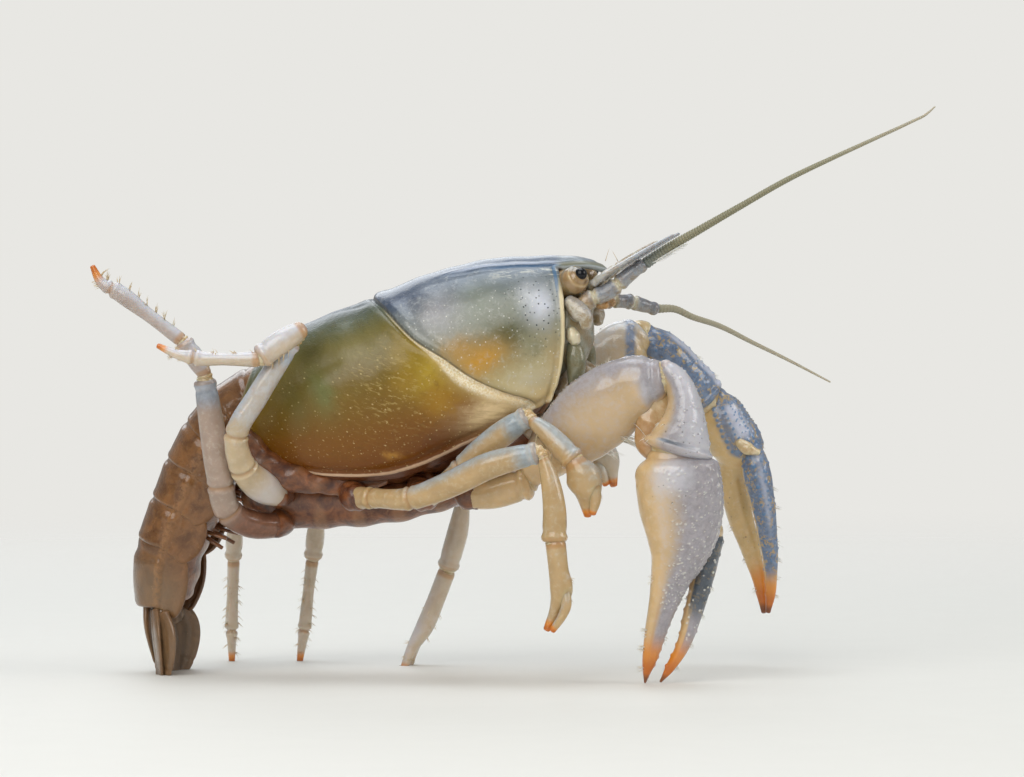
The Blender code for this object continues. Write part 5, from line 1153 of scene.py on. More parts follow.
class CRAYFISH_OT_underside(bpy.types.Operator):
    """Builds the flesh under the shield and the ribbed plate between the legs."""

    bl_idname = "crayfish.underside"
    bl_label = "Underside"

    def execute(self, context):
        skin = carry(rows_in_body([(f, 0.0, *row) for f, *row in STERNUM]), AXES[2], 150, 72)
        ribs = 0.5 + 0.5 * np.cos(skin.from_root() * 2.0 * pi / 2.9)
        below = skin.facing(-AXES[2])
        ridge = bell(skin.angle, -0.5 * pi, 0.22) + bell(skin.angle, 0.5 * pi, 0.22)
        raise_skin(skin, 0.16 * ribs * step(below, 0.4, 0.9) - 0.2 * ridge * step(below, 0.6, 1.0))
        skin.mark(knob=ribs**3 * step(below, 0.35, 0.8))
        add_piece("underside_plate", tube_mesh(skin), material_once(belly_glaze), ("sternum",))
        hind = carry(HIND_FLESH, ACROSS, 110, 48, (0.8, 0.8))
        folds = np.sin(2.1 * hind.from_root()) * np.sin(2.0 * hind.angle + 0.6 * hind.from_root())
        raise_skin(hind, 0.1 * folds + 0.025 * np.sin(5.3 * hind.from_root() + 3.0 * hind.angle))
        hind.mark(knob=0.3 + 0.3 * folds)
        meshes = [tube_mesh(flesh_core()), tube_mesh(hind)]
        tables = [table["upper"] for table, _ in LEGS.values()] + [RIGHT_CLAW["base"], LEFT_CLAW["base"]]
        for table in tables:
            first, second = np.array(table[0], float), np.array(table[1], float)
            onward = unit(second[:3] - first[:3])
            inward = np.array((0.0, -copysign(2.4, first[1] - in_body((0.0, 0.0, 0.0))[1]), 1.2))
            rows = [(*(first[:3] + inward), first[3] * 1.3, first[4] * 1.3),
                    (*(first[:3] + 0.4 * inward - onward * 0.3), first[3] * 1.15, first[4] * 1.15),
                    (*(first[:3] + onward * 0.35), first[3] * 1.08, first[4] * 1.08),
                    (*(first[:3] + onward * 0.8), first[3] * 0.94, first[4] * 0.94)]
            fold = carry(rows, AHEAD, 40, 32)
            raise_skin(fold, 0.06 * np.sin(6.0 * fold.from_root() + 2.0 * np.sin(2.0 * fold.angle)))
            meshes.append(tube_mesh(fold))
        add_piece("flesh_core", joined(meshes), material_once(belly_glaze))
        return {"FINISHED"}


def tail_course(places):
    """Centres, directions along and outwards and half sizes at places on the tail's middle line."""
    rows = np.array(TAIL_LINE)
    fine = np.linspace(0.0, len(rows) - 1.0, 401)
    line = eased(np.arange(len(rows), dtype=float), rows, fine)
    slide = -(line[:, 0] - BODY_PLACE[0]) * tan(BODY_TURN)
    centre = np.stack([line[:, 0], slide, line[:, 1]], axis=1)
    along = unit(np.gradient(centre, axis=0))
    out = np.cross(along, AXES[1])
    out = unit(out * copysign(1.0, out[0][2]))

    def pick(table):
        return np.stack([np.interp(places, fine, column) for column in table.T], axis=-1)

    return pick(centre), pick(along), pick(out), pick(line[:, 2:])


def tail_plate(index):
    """One ring of the tail: a round back that runs down each side into a flap with a rounded lower edge.

    At turn q the back is (wide sin, high cos) up to a quarter circle at |q| = 0.7, and beyond it the side
    goes straight down by the flap's reach, which swells and shrinks along the ring.
    """
    start, end = TAIL_CUTS[index] - (0.12 if index else 0.3), TAIL_CUTS[index + 1] + 0.16
    rows, cols = 42, 101
    share = np.linspace(0.0, 1.0, rows)
    turn = np.linspace(-1.0, 1.0, cols)
    centre, along, out, size = tail_course(start + (end - start) * share)
    swell = 0.975 + 0.035 * step(share, 0.0, 0.55) - 0.01 * step(share, 0.9, 1.0)
    high = (size[:, 0] * swell)[:, None]
    wide = (size[:, 1] * swell)[:, None]
    side = np.abs(turn)[None]
    angle = np.minimum(side / 0.7, 1.0) * 0.5 * pi
    down = np.clip((side - 0.7) / 0.3, 0.0, 1.0)
    shape = np.sin(np.clip(share * 0.86 + 0.12, 0.0, 1.0) * pi)[:, None] ** 0.5
    reach = high * 0.62 + (FLAP_REACH[index] + 0.2) * shape
    across = wide * np.sin(angle) * (1.0 - 0.1 * down**2)
    up = high * np.cos(angle) - reach * down
    slant = (0.25 + 0.12 * index) * down * np.ones((rows, 1))
    step_out = across * np.sign(turn)[None]
    grid = (centre[:, None] + AXES[1] * step_out[..., None] + out[:, None] * up[..., None]
            + along[:, None] * slant[..., None])
    normal = grid_normals(grid)
    if np.sum(normal[rows // 2, cols // 2] * out[rows // 2]) < 0.0:
        grid = grid[:, ::-1]
        turn = turn[::-1]
        normal = grid_normals(grid)
    side = np.repeat(np.abs(turn)[None], rows, axis=0)
    along_share = np.repeat(share[:, None], cols, axis=1)
    relief = 0.06 * bell(along_share, 0.97, 0.05) - 0.09 * bell(along_share, 0.3, 0.06) * step(side, 0.8, 0.6)
    relief += 0.05 * bell(along_share, 0.42, 0.1) * step(side, 0.9, 0.6)
    relief += 0.14 * bell(side, 0.72, 0.03) * bell(along_share, 0.45, 0.16)
    relief -= 0.12 * bell(side, 0.78, 0.03) * step(along_share, 0.1, 0.3)
    relief += 0.1 * bell(side, 0.97, 0.03)
    grid = grid + normal * relief[..., None]
    values = {"round": side, "share": along_share, "along": start + (end - start) * along_share}
    return plate_mesh(grid, 0.34, values)


def tail_belly():
    """The soft inside of the tail with its cross bars and the pairs of swimming limbs."""
    places = np.linspace(0.2, 7.3, 26)
    centre, along, out, size = tail_course(places)
    rows = np.concatenate([centre - out * 0.25 * size[:, :1], size[:, 1:] * 0.86, size[:, :1] * 0.78], axis=1)
    skin = carry(rows, out.mean(axis=0), 130, 48)
    bars = 0.5 + 0.5 * np.cos(skin.from_root() * 2.0 * pi / (skin.length / 6.6))
    raise_skin(skin, 0.18 * bars)
    skin.mark(knob=bars**4)
    parts = [tube_mesh(skin)]
    for index in (1, 2, 3, 4):
        middle = (TAIL_CUTS[index] + TAIL_CUTS[index + 1]) / 2.0
        centre, along, out, size = (item[0] for item in tail_course(np.array([middle])))
        down = -out * (2.9 if index > 1 else 1.9)
        for sign in (-1.0, 1.0):
            root = centre + AXES[1] * sign * 1.5 - out * size[0] * 0.45
            lean = AXES[1] * sign * 0.45
            stem = [(*(root + down * t + lean * t), w, d) for t, w, d in
                    ((0.0, 0.3, 0.26), (0.3, 0.26, 0.22), (0.55, 0.24, 0.2))]
            blades = []
            for spread in (-0.35, 0.4):
                fan = along * spread
                blades.append([(*(root + down * t + (lean + fan) * t), w, 0.15) for t, w in
                               ((0.45, 0.16), (0.7, 0.36), (0.88, 0.34), (1.05, 0.12))])
            for table in [stem] + blades:
                limb = carry(table, np.cross(down, AXES[1]), 16, 14)
                limb.mark(knob=0.6)
                parts.append(tube_mesh(limb))
    return joined(parts)


def fan_blade(rows, sign, lean, ribs=1.0):
    """A blade of the tail fan: a flat oval with a middle rib, side furrows and a cross seam near its end."""
    centre, along, out, _ = (item[0] for item in tail_course(np.array([TAIL_CUTS[-1]])))
    table = [(*(centre + along * (a + 0.65) + AXES[1] * c * sign + out * o), wide, deep)
             for a, c, o, wide, deep in rows]
    turn = radians(lean)
    facing = out * cos(turn) + AXES[1] * sign * sin(turn)
    skin = carry(table, facing, 60, 48, (0.6, 1.0))
    across = np.cos(skin.angle)
    relief = 0.07 * bell(across, 0.0, 0.14) - 0.05 * bell(np.abs(across), 0.34, 0.1)
    relief += 0.03 * np.cos(across * 22.0) * step(skin.share, 0.55, 0.8)
    relief -= 0.07 * bell(skin.share, 0.72, 0.02) * ribs
    raise_skin(skin, relief * 0.8)
    skin.mark(round=np.abs(across) * 0.6, along=6.6 + skin.share, share=skin.share * 0.9)
    return skin


class CRAYFISH_OT_tail(bpy.types.Operator):
    """Builds the six rings of the tail, its soft underside and the fan at its end."""

    bl_idname = "crayfish.tail"
    bl_label = "Tail"

    def execute(self, context):
        glaze = material_once(tail_glaze)
        for index in range(6):
            add_piece(f"tail_ring_{index + 1}", tail_plate(index), glaze, (f"tail_{index + 1}",))
        add_piece("tail_belly", tail_belly(), material_once(belly_glaze))
        middle = tube_mesh(fan_blade(TELSON, 1.0, 0.0))
        add_piece("tail_fan_middle_blade", middle, glaze, ("tail_fan_middle",))
        for side, sign in SIDES:
            skins = [fan_blade(PADDLE_STEM, sign, 30.0, 0.0), fan_blade(INNER_PADDLE, sign, INNER_LEAN, 0.0),
                     fan_blade(OUTER_PADDLE, sign, OUTER_LEAN)]
            add_piece(f"tail_fan_{side}_blades", joined([tube_mesh(skin) for skin in skins]), glaze,
                      (f"tail_fan_{side}",))
        return {"FINISHED"}


def rimmed(skin, strength=1.0):
    """A raised rim just before the far end, a furrow behind it and a narrow neck at the root."""
    to_tip, to_root = skin.from_tip(), skin.from_root()
    rim = 0.07 * bell(to_tip, 0.1, 0.16) - 0.05 * bell(to_tip, 0.5, 0.2)
    return strength * (rim - 0.05 * bell(to_root, 0.0, 0.3))


def knuckles(skin, places, strength=1.0):
    """Joints inside a length: a furrow with a small swelling on each side of it."""
    relief = np.zeros(skin.share.shape)
    mark = np.zeros(skin.share.shape)
    for place in places:
        away = (skin.share - place) * skin.length
        swelling = 0.07 * bell(away, -0.3, 0.18) + 0.04 * bell(away, 0.3, 0.2)
        relief += strength * (-0.14 * bell(away, 0.0, 0.12) + swelling)
        mark = np.maximum(mark, bell(away, 0.0, 0.2))
    return relief, mark


def scatter(seed, number, share_range, angle_range, least=0.6, most=1.2):
    """Places for knobs or bristles: even random shares and angles, and a scale for each."""
    chance = np.random.default_rng(seed)
    share = chance.uniform(*share_range, number)
    angle = chance.uniform(*angle_range, number)
    return list(zip(share, angle, chance.uniform(least, most, number)))


def edge_row(number, share_range, angle, least=0.8, most=1.3):
    """Knobs in a row: even shares, angles that wander by a sine and sizes that rise and fall by another."""
    shares = np.linspace(*share_range, number)
    wave = 0.5 + 0.5 * np.sin(np.arange(number) * 2.3)
    return [(share, angle + 0.12 * sin(3.1 * n), least + (most - least) * wave[n])
            for n, share in enumerate(shares)]


# Each claw's lengths and its finish.
CLAWS = {
    "claw_right": (RIGHT_CLAW, "claw_glaze_right"),
    "claw_left": (LEFT_CLAW, "claw_glaze_left"),
}
# The rings and sides of each length's grid, and how round its ends are.
CLAW_GRIDS = {
    "base": (50, 40, (0.5, 0.5)), "arm": (110, 120, (0.6, 0.45)), "wrist": (120, 120, (0.7, 0.3)),
    "palm": (230, 170, (0.75, 0.6)), "finger": (170, 110, (0.6, 0.6)),
}


def claw_knobs(side, part):
    """Where the knobs of a claw stand, in shares of the length and angles round it, and their size."""
    front, right = pi, side == "claw_right"
    if part == "palm" and right:
        spots = edge_row(9, (0.08, 0.36), front - 0.1, 0.8, 1.1)
        spots += edge_row(8, (0.1, 0.36), front + 0.4, 0.7, 0.9)
        spots += edge_row(9, (0.62, 0.92), front - 0.2, 0.7, 1.0)
        spots += scatter(3, 330, (0.04, 0.66), (-pi, -1.25), 0.28, 0.42)
        spots += scatter(7, 150, (0.04, 0.6), (1.3, front), 0.3, 0.45)
        return spots, 0.2
    if part == "palm":
        spots = edge_row(9, (0.03, 0.23), -1.3, 0.85, 1.1) + edge_row(8, (0.04, 0.22), -1.75, 0.7, 0.9)
        spots += edge_row(7, (0.1, 0.22), -2.3, 0.6, 0.85)
        spots += scatter(5, 70, (0.03, 0.25), (-pi, -2.0), 0.35, 0.6)
        return spots + scatter(9, 100, (0.05, 0.4), (0.6, front), 0.4, 0.7), 0.2
    if part == "finger":
        spots = edge_row(9, (0.3, 0.9), 0.0, 0.7, 0.9) + scatter(11, 70, (0.05, 0.7), (-pi, pi), 0.4, 0.75)
        if not right:
            spots += edge_row(7, (0.1, 0.42), -1.45, 0.8, 1.0) + edge_row(7, (0.08, 0.4), -2.1, 0.8, 1.0)
        return spots, 0.18
    if part == "wrist":
        spots = scatter(13, 60, (0.12, 0.9), (0.5 * pi, 1.6 * pi), 0.4, 0.8)
        return spots, 0.18 if side == "claw_left" else 0.12
    if part == "arm":
        return edge_row(26, (0.2, 0.96), pi, 0.45, 0.7) + edge_row(10, (0.3, 0.9), 0.25, 0.4, 0.7), 0.14
    return [], 0.2


def claw_marks(side, part, skin):
    """The marks that a claw's colours follow, each from 0 to 1 over one of its lengths.

    The turn is 0 on the side towards the body and pi on the outer edge.
    """
    share, turn = skin.share, np.abs(skin.angle)
    to_tip, to_root = skin.from_tip(), skin.from_root()
    above = skin.facing((0.1, -0.15, 1.0))
    cool = slate = pale = pit = joint = tip = 0.0
    if side == "claw_right":
        if part == "arm":
            cool = 0.35 * step(share, 0.1, 0.4) + 0.45 * step(above, 0.45, 0.85)
            cool = np.maximum(cool, 0.9 * bell(to_tip, 0.4, 1.1) * step(turn, 0.2, 0.9))
            # Painted highlight: the arm's top, turned up to the lamps, is paler.
            pale = 0.3 * step(above, 0.8, 0.98) * step(share, 0.3, 0.7)
            pale = pale + 0.5 * bell(to_tip, 0.9, 0.8) * step(turn, 2.4, 1.2)
        elif part == "wrist":
            cool = 0.9 * step(turn, 0.3, 1.4)
            pale = 0.25 + 0.5 * step(turn, 1.0, 2.2)
            slate = 0.95 * bell(to_tip, 0.3, 0.17) * step(turn, 0.5, 1.2) * skin.shrink
            pit = 0.7 * step(share, 0.4, 0.7)
        elif part == "palm":
            cool = 0.25 * step(turn, 0.3, 1.0) + 0.75 * step(turn, 0.9, 2.1)
            # Painted highlight: the first term is a soft pale patch high on the palm, where the light falls.
            pale = 0.85 * bell(share, 0.07, 0.085) * bell(turn, 1.4, 0.6)
            pale = pale + 0.35 * bell(share, 0.3, 0.2) * bell(turn, 1.05, 0.25)
            pit = bell(share, 0.15, 0.09) * bell(turn, 1.4, 0.5)
            joint = 0.5 * bell(turn, 1.25, 0.25) * step(share, 0.5, 0.68) + 0.5 * bell(to_root, 0.0, 0.3)
            tip = step(share, 0.72, 1.0)
        elif part == "finger":
            slate = 0.95 * step(share, 0.72, 0.36) * step(turn, 0.5, 1.1)
            cool = step(turn, 0.9, 1.7)
            joint = 0.6 * step(turn, 1.2, 0.4) * step(share, 0.1, 0.3)
            tip = step(share, 0.6, 1.0)
    elif part == "arm":
        cool = 0.3 + 0.4 * step(above, 0.6, 0.95)
        # Painted light: the arm's upper faces are paler than its shaded lower side.
        pale = 0.4 * step(above, 0.2, 0.8)
        slate = 0.95 * bell(skin.points[..., 0], 9.0, 0.45) * step(above, 0.3, 0.5)
    elif part == "wrist":
        slate = 0.75 + 0.3 * step(above, 0.4, 0.7)
        # Painted highlight: the wrist's top, turned up to the lamps, is paler.
        pale = 0.75 * step(skin.facing((0.6, 0.0, 0.8)), 0.82, 0.96) * step(share, 0.05, 0.3)
    elif part == "palm":
        blue = step(share, 0.28, 0.23) * step(turn, 0.9, 1.5)
        slate = 0.7 * blue + 0.9 * bell(share, 0.25, 0.022) * step(turn, 1.2, 1.9)
        # Painted highlight: a pale patch on the middle of the palm.
        pale = 0.8 * bell(turn, 2.1, 0.45) * step(share, 0.24, 0.18) * step(share, 0.01, 0.06)
        joint = 0.5 * bell(share, 0.3, 0.03) * step(turn, 1.0, 1.6) + 0.25 * step(share, 0.45, 0.6)
        pit = 0.8 * step(share, 0.34, 0.45) * bell(turn, 1.4, 0.7)
        tip = step(share, 0.7, 1.0)
    elif part == "finger":
        slate = 0.8 * step(share, 0.92, 0.7) * step(turn, 0.15, 0.6)
        pale = 0.5 * bell(turn, 1.9, 0.35) * step(share, 0.7, 0.4)
        tip = step(share, 0.7, 1.0)
    if part in ("arm", "wrist", "base"):
        amber = 0.45 if side == "claw_right" else 0.3
        joint = amber * (bell(to_tip, -0.08, 0.14) * skin.shrink + bell(to_root, 0.0, 0.25))
    return {"cool": cool, "slate": slate, "pale": pale, "pit": pit, "joint": joint, "tip": tip}


def claw_skin(side, part):
    """One length of a claw arm with its rims, knobs and marks."""
    skin = carry(CLAWS[side][0][part], ACROSS, *CLAW_GRIDS[part])
    spots, size = claw_knobs(side, part)
    knob = skin.near(spots, size)
    relief = (sizes().knob_height / MM) * knob
    away = skin.from_root()
    if part in ("base", "arm", "wrist"):
        relief += rimmed(skin, 1.6)
    if part in ("palm", "finger"):
        relief += -0.1 * bell(away, 0.0, 0.4) + 0.06 * bell(away, 0.8, 0.6)
        along = step(skin.share, 0.45, 0.6) * step(skin.share, 1.0, 0.9)
        relief += 0.05 * np.cos(2.0 * skin.angle - 0.4) * along
    relief += 0.02 * np.sin(1.3 * away + 2.0 * np.sin(skin.angle)) * np.sin(3.0 * skin.angle + 0.8 * away)
    raise_skin(skin, relief)
    skin.mark(knob=knob, **claw_marks(side, part, skin))
    return skin


class CRAYFISH_OT_claws(bpy.types.Operator):
    """Builds the five lengths of each claw arm over its solids."""

    bl_idname = "crayfish.claws"
    bl_label = "Claws"

    def execute(self, context):
        for side, (_, finish) in CLAWS.items():
            glaze = material_once(limb_glaze, finish)
            for part in CLAW_GRIDS:
                add_piece(f"{side}_{part}_skin", tube_mesh(claw_skin(side, part)), glaze, (f"{side}_{part}",))
        return {"FINISHED"}


# Each leg's finish, the joints inside its upper length, how cool it is and where its amber tip and toe start.
LEG_LOOKS = {
    "leg2_right": {"paint": "leg_glaze_warm", "knees": (0.2, 0.42), "cool": 0.7, "tip": 0.8},
    "leg3_right": {"paint": "leg_glaze_warm", "knees": (0.13, 0.357), "cool": 0.55, "tip": 0.82},
    "leg4_right": {"paint": "leg_glaze_pale", "knees": (0.325, 0.506), "cool": 0.8, "tip": 0.86, "toe": 0.62},
    "leg5_right": {"paint": "leg_glaze_mauve", "knees": (0.318, 0.476), "cool": 0.7, "tip": 0.8, "toe": 0.74},
    "leg2_left": {"paint": "leg_glaze_warm", "knees": (0.2, 0.42), "cool": 0.5, "tip": 0.8},
    "leg3_left": {"paint": "leg_glaze_pale", "knees": (0.16, 0.4), "cool": 0.4, "tip": 0.85},
    "leg4_left": {"paint": "leg_glaze_pale", "knees": (0.18, 0.4), "cool": 0.6, "tip": 0.85, "toe": 0.68},
    "leg5_left": {"paint": "leg_glaze_pale", "knees": (0.18, 0.4), "cool": 0.6, "tip": 0.85, "toe": 0.68},
}
# The rings and sides of each length's grid, and how far its root reaches back, in millimetres.
LEG_GRIDS = {"upper": (110, 40), "shank": (60, 36), "hand": (80, 40), "foot": (90, 32), "thumb": (50, 28)}
LEG_REACH = {"shank": 0.25, "hand": 0.3, "foot": 0.3}


def leg_skin(name, part):
    """One length of a walking leg with its knuckles, rims and colour marks."""
    look = LEG_LOOKS[name]
    table, facing = LEGS[name]
    upper = part == "upper"
    skin = carry(table[part], facing, *LEG_GRIDS[part], reach=(LEG_REACH.get(part, 0.0), 0.0))
    relief = 0.015 * np.sin(2.2 * skin.from_root()) * np.sin(2.0 * skin.angle)
    furrow, mark = knuckles(skin, look["knees"] if upper else ((look["toe"],) if part == "foot" else ()))
    relief = relief + furrow
    if part in ("upper", "shank"):
        relief = relief + rimmed(skin, 0.9)
    raise_skin(skin, relief)
    share, to_tip = skin.share, skin.from_tip()
    above = step(skin.facing((0.0, -0.1, 1.0)), 0.45, 0.95)
    cool, joint, tip = 0.15 + look["cool"] * above, 0.7 * mark, 0.0
    if upper:
        cool = np.maximum(cool, (look["cool"] + 0.25) * step(to_tip, 3.0, 0.3)) * step(share, 0.1, 0.5)
        slate = step(share, 0.5, 0.1) if name.startswith("leg5") else 0.35 * step(share, 0.22, 0.0)
        pale = 0.5 * bell(to_tip, 0.3, 0.3)
    else:
        slate = 0.7 * (share > 0.9) * (part in ("hand", "thumb")) * above
        # Painted highlight: the lower lengths are paler on faces turned up to the lamps.
        pale = 0.45 * above
        joint = np.maximum(joint, 0.8 * bell(skin.from_root(), 0.0, 0.3))
    if part in ("upper", "shank"):
        joint = np.maximum(joint, 0.55 * bell(to_tip, 0.0, 0.12))
    else:
        tip = step(share, look["tip"], 1.0) * 0.9
    if name == "leg4_right" and upper:
        pale = pale + 0.7 * bell(share, 0.14, 0.12) + 0.35 * step(share, 0.5, 0.65)
        cool = np.maximum(cool, 0.5 * step(share, 0.35, 0.65))
    elif name.endswith("left") or (name.startswith(("leg4", "leg5")) and not upper):
        pale = pale + 0.4
    skin.mark(cool=cool, slate=slate, joint=joint, tip=tip, pale=pale)
    return skin


class CRAYFISH_OT_legs(bpy.types.Operator):
    """Builds the eight walking legs, each in three lengths, the first four ending in pincers."""

    bl_idname = "crayfish.legs"
    bl_label = "Legs"

    def execute(self, context):
        for name, look in LEG_LOOKS.items():
            glaze = material_once(limb_glaze, look["paint"])
            table = LEGS[name][0]
            last = "hand" if "hand" in table else "foot"
            for part in ("upper", "shank", last):
                meshes = [tube_mesh(leg_skin(name, part))]
                if part == "hand":
                    meshes.append(tube_mesh(leg_skin(name, "thumb")))
                add_piece(f"{name}_{part}_skin", joined(meshes), glaze, (f"{name}_{part}",))
        return {"FINISHED"}


def soft_joint(first, second, facing, fill=0.84):
    """Wrinkled skin from the far end of one length to the root of the next: an oval carried over the gap."""
    a, b = np.array(first[-2:], float), np.array(second[:2], float)
    back = unit(a[1, :3] - a[0, :3])
    onward = unit(b[1, :3] - b[0, :3])
    size_a, size_b = a[1, 3:5] * fill, np.maximum(b[0, 3:5], 0.5 * b[1, 3:5]) * fill
    middle = (a[1, :3] + b[0, :3]) / 2.0 + (back - onward) * 0.12
    rows = [(*(a[1, :3] - back * 0.5), *size_a), (*(a[1, :3] + back * 0.05), *size_a),
            (*middle, *((size_a + size_b) / 2.0)), (*(b[0, :3] + onward * 0.1), *size_b),
            (*(b[0, :3] + onward * 0.6), *size_b)]
    skin = carry(rows, facing, 40, 28)
    return raise_skin(skin, 0.04 * np.cos(skin.from_root() * 2.0 * pi / 0.26))


class CRAYFISH_OT_joints(bpy.types.Operator):
    """Bridges every joint of the limbs with soft wrinkled skin."""

    bl_idname = "crayfish.joints"
    bl_label = "Soft joints"

    def execute(self, context):
        skins = []
        for table, _ in CLAWS.values():
            for first, second in (("base", "arm"), ("arm", "wrist"), ("wrist", "palm")):
                skins.append(soft_joint(table[first], table[second], ACROSS, 0.8))
            palm, finger = np.array(table["palm"]), np.array(table["finger"])
            start = palm[4, :3] * 0.45 + finger[0, :3] * 0.55
            rows = [(*start, 0.7, 0.9), (*finger[0, :3], 0.62, 0.72), (*finger[1, :3], 0.6, 0.65)]
            skins.append(carry(rows, ACROSS, 24, 28))
        for rows in SOFT_FOLDS:
            fold = carry(rows, ACROSS, 60, 36, (0.7, 0.7))
            raise_skin(fold, 0.07 * np.sin(3.2 * fold.from_root() + 1.4 * np.sin(fold.angle + 0.5)))
            fold.mark(deep=(0.25 + 0.6 * step(fold.share, 0.2, 0.7)) * (fold.length > 3.0))
            skins.append(fold)
        for table, facing in LEGS.values():
            last = "hand" if "hand" in table else "foot"
            skins.append(soft_joint(table["upper"], table["shank"], facing))
            skins.append(soft_joint(table["shank"], table[last], facing))
        add_piece("soft_joints", joined([tube_mesh(skin) for skin in skins]), material_once(flesh_glaze))
        return {"FINISHED"}


def whip_skin(rows, pitch, sides=14):
    """A feeler as a round tube whose rings swell and narrow along it, closer together at the thin end."""
    slim = np.interp(np.linspace(0.0, 1.0, len(rows)), (0.0, 0.15, 0.5, 1.0), (0.9, 0.85, 0.75, 0.6))
    table = [(*row[:3], row[3] * thin, row[3] * thin) for row, thin in zip(rows, slim)]
    skin = carry(table, ACROSS, 420, sides, (0.5, 1.0))
    count = skin.length / pitch
    phase = skin.share * count * (1.0 + 0.25 * skin.share)
    ring = 0.5 + 0.5 * np.cos(2.0 * pi * phase)
    size = np.interp(skin.share, np.linspace(0, 1, len(rows)), [row[3] for row in rows])
    raise_skin(skin, -0.1 * size * ring**3)
    skin.mark(share=skin.share, ring=ring**2)
    return skin


# The stem, the whip and the distance between the whip's rings.
LONG_FEELERS = {"right": (RIGHT_PEDUNCLE, RIGHT_WHIP, 0.24), "left": (LEFT_PEDUNCLE, LEFT_WHIP, 0.3)}


class CRAYFISH_OT_feelers(bpy.types.Operator):
    """Builds both long feelers with their stems and scales, and the short forked pair."""

    bl_idname = "crayfish.feelers"
    bl_label = "Feelers"

    def execute(self, context):
        glaze = material_once(feeler_glaze)
        plates = material_once(head_glaze)
        for side, sign in SIDES:
            stem_rows, whip_rows, pitch = LONG_FEELERS[side]
            whip = whip_skin(whip_rows, pitch)
            if side == "left":
                whip.mark(share=0.75 + 0.25 * whip.share, ring=whip.values["ring"] * 0.4)
            add_piece(f"long_feeler_{side}", tube_mesh(whip), glaze, (f"antenna_{side}",))
            rows = [(*row, row[3]) for row in stem_rows]
            stem = carry(rows, AXES[1], 90, 40, (0.5, 0.5), (0.2, 0.1))
            furrow, mark = knuckles(stem, (0.31, 0.63), 0.9)
            raise_skin(stem, furrow + rimmed(stem, 0.7))
            blue = (0.45 + 0.4 * stem.facing((0.2, 0.0, 1.0))) * (1.0 - mark) * step(stem.share, 0.1, 0.3)
            stem.mark(cool=blue, pearl=0.55 * mark, warm=0.5 * bell(stem.share, 0.2, 0.1))
            add_piece(f"feeler_stem_{side}", tube_mesh(stem), plates, (f"antenna_base_{side}",))
            scale = carry(rows_in_body(SCALE, sign), AXES[2], 70, 40, (0.6, 1.0))
            across = np.cos(scale.angle)
            raise_skin(scale, 0.04 * bell(across * -sign, 0.75, 0.2) - 0.03 * bell(across, 0.1, 0.3))
            scale.mark(cool=0.35 + 0.4 * step(scale.share, 0.1, 0.7),
                       moss=0.3 * bell(across * -sign, -0.2, 0.4),
                       pale=0.25 + 0.3 * bell(across * -sign, 0.8, 0.3))
            add_piece(f"feeler_scale_{side}", tube_mesh(scale), plates, (f"antenna_scale_{side}",))
            parts = []
            for rows in (FEELERET, FEELERET_FORK):
                fork = carry(rows_in_body(rows, sign), AXES[1], 120, 24, (0.8, 1.0))
                furrow, mark = knuckles(fork, (0.2, 0.42), 0.6)
                raise_skin(fork, furrow * step(fork.share, 0.6, 0.4))
                fork.mark(moss=0.4 * step(fork.share, 0.6, 0.2), pale=0.4 * fork.share, pearl=0.5 * mark)
                parts.append(tube_mesh(fork))
            add_piece(f"short_feeler_{side}", joined(parts), plates, (f"antennule_{side}",))
        return {"FINISHED"}


def ball_skin(place, radius, towards, rings=40, sides=40):
    """A ball as a closed grid with a pole in the given direction: radius (cos a, sin a) turned round it."""
    axis = unit(np.asarray(towards, float))
    side = unit(np.cross(axis, (0.3, 0.2, 1.0)))
    other = np.cross(axis, side)
    tilt = np.linspace(pi, 0.0, rings)
    angle = np.linspace(-pi, pi, sides, endpoint=False)
    circle = np.cos(angle)[None, :, None] * side + np.sin(angle)[None, :, None] * other
    normal = np.cos(tilt)[:, None, None] * axis + np.sin(tilt)[:, None, None] * circle
    share = np.repeat(np.linspace(0.0, 1.0, rings)[:, None], sides, axis=1)
    skin = Skin(place + normal * radius, normal, share, np.repeat(angle[None], rings, axis=0), pi * radius)
    skin.shrink = np.ones(share.shape)
    return skin


class CRAYFISH_OT_eyes(bpy.types.Operator):
    """Builds the honey-coloured eye stalks and their black corneas."""

    bl_idname = "crayfish.eyes"
    bl_label = "Eyes"

    def execute(self, context):
        for side, sign in SIDES:
            globe = in_body((EYE_PLACE[0], EYE_PLACE[1] * sign, EYE_PLACE[2]))
            pupil = in_body((PUPIL_PLACE[0], PUPIL_PLACE[1] * sign, PUPIL_PLACE[2]))
            look = unit(pupil - globe)
            stalk = ball_skin(globe, EYE_BALL_RADIUS, look, 60, 48)
            raise_skin(stalk, 0.04 * bell(stalk.share, 0.68, 0.03) - 0.04 * bell(stalk.share, 0.75, 0.03))
            stalk.mark(ring=bell(stalk.share, 0.68, 0.04) + 0.5 * bell(stalk.share, 0.4, 0.03),
                       cool=step(stalk.facing((0.0, 0.0, 1.0)), 0.75, 1.0))
            back, root = (13.4, 1.1 * sign, 2.9), (14.5, 1.6 * sign, 3.0)
            rows = [(*in_body(place), size, size) for place, size in ((back, 0.9), (root, 1.1))]
            socket = carry([*rows, (*(globe - look * 0.2), 1.0, 1.0)], AXES[1], 30, 36)
            add_piece(f"eye_globe_{side}", joined([tube_mesh(stalk), tube_mesh(socket)]),
                      material_once(eye_glaze), (f"eyestalk_{side}",))
            cornea = ball_skin(pupil, PUPIL_RADIUS, look, 40, 40)
            add_piece(f"cornea_{side}", tube_mesh(cornea), material_once(cornea_glaze),
                      (f"eye_{side}",))
        return {"FINISHED"}


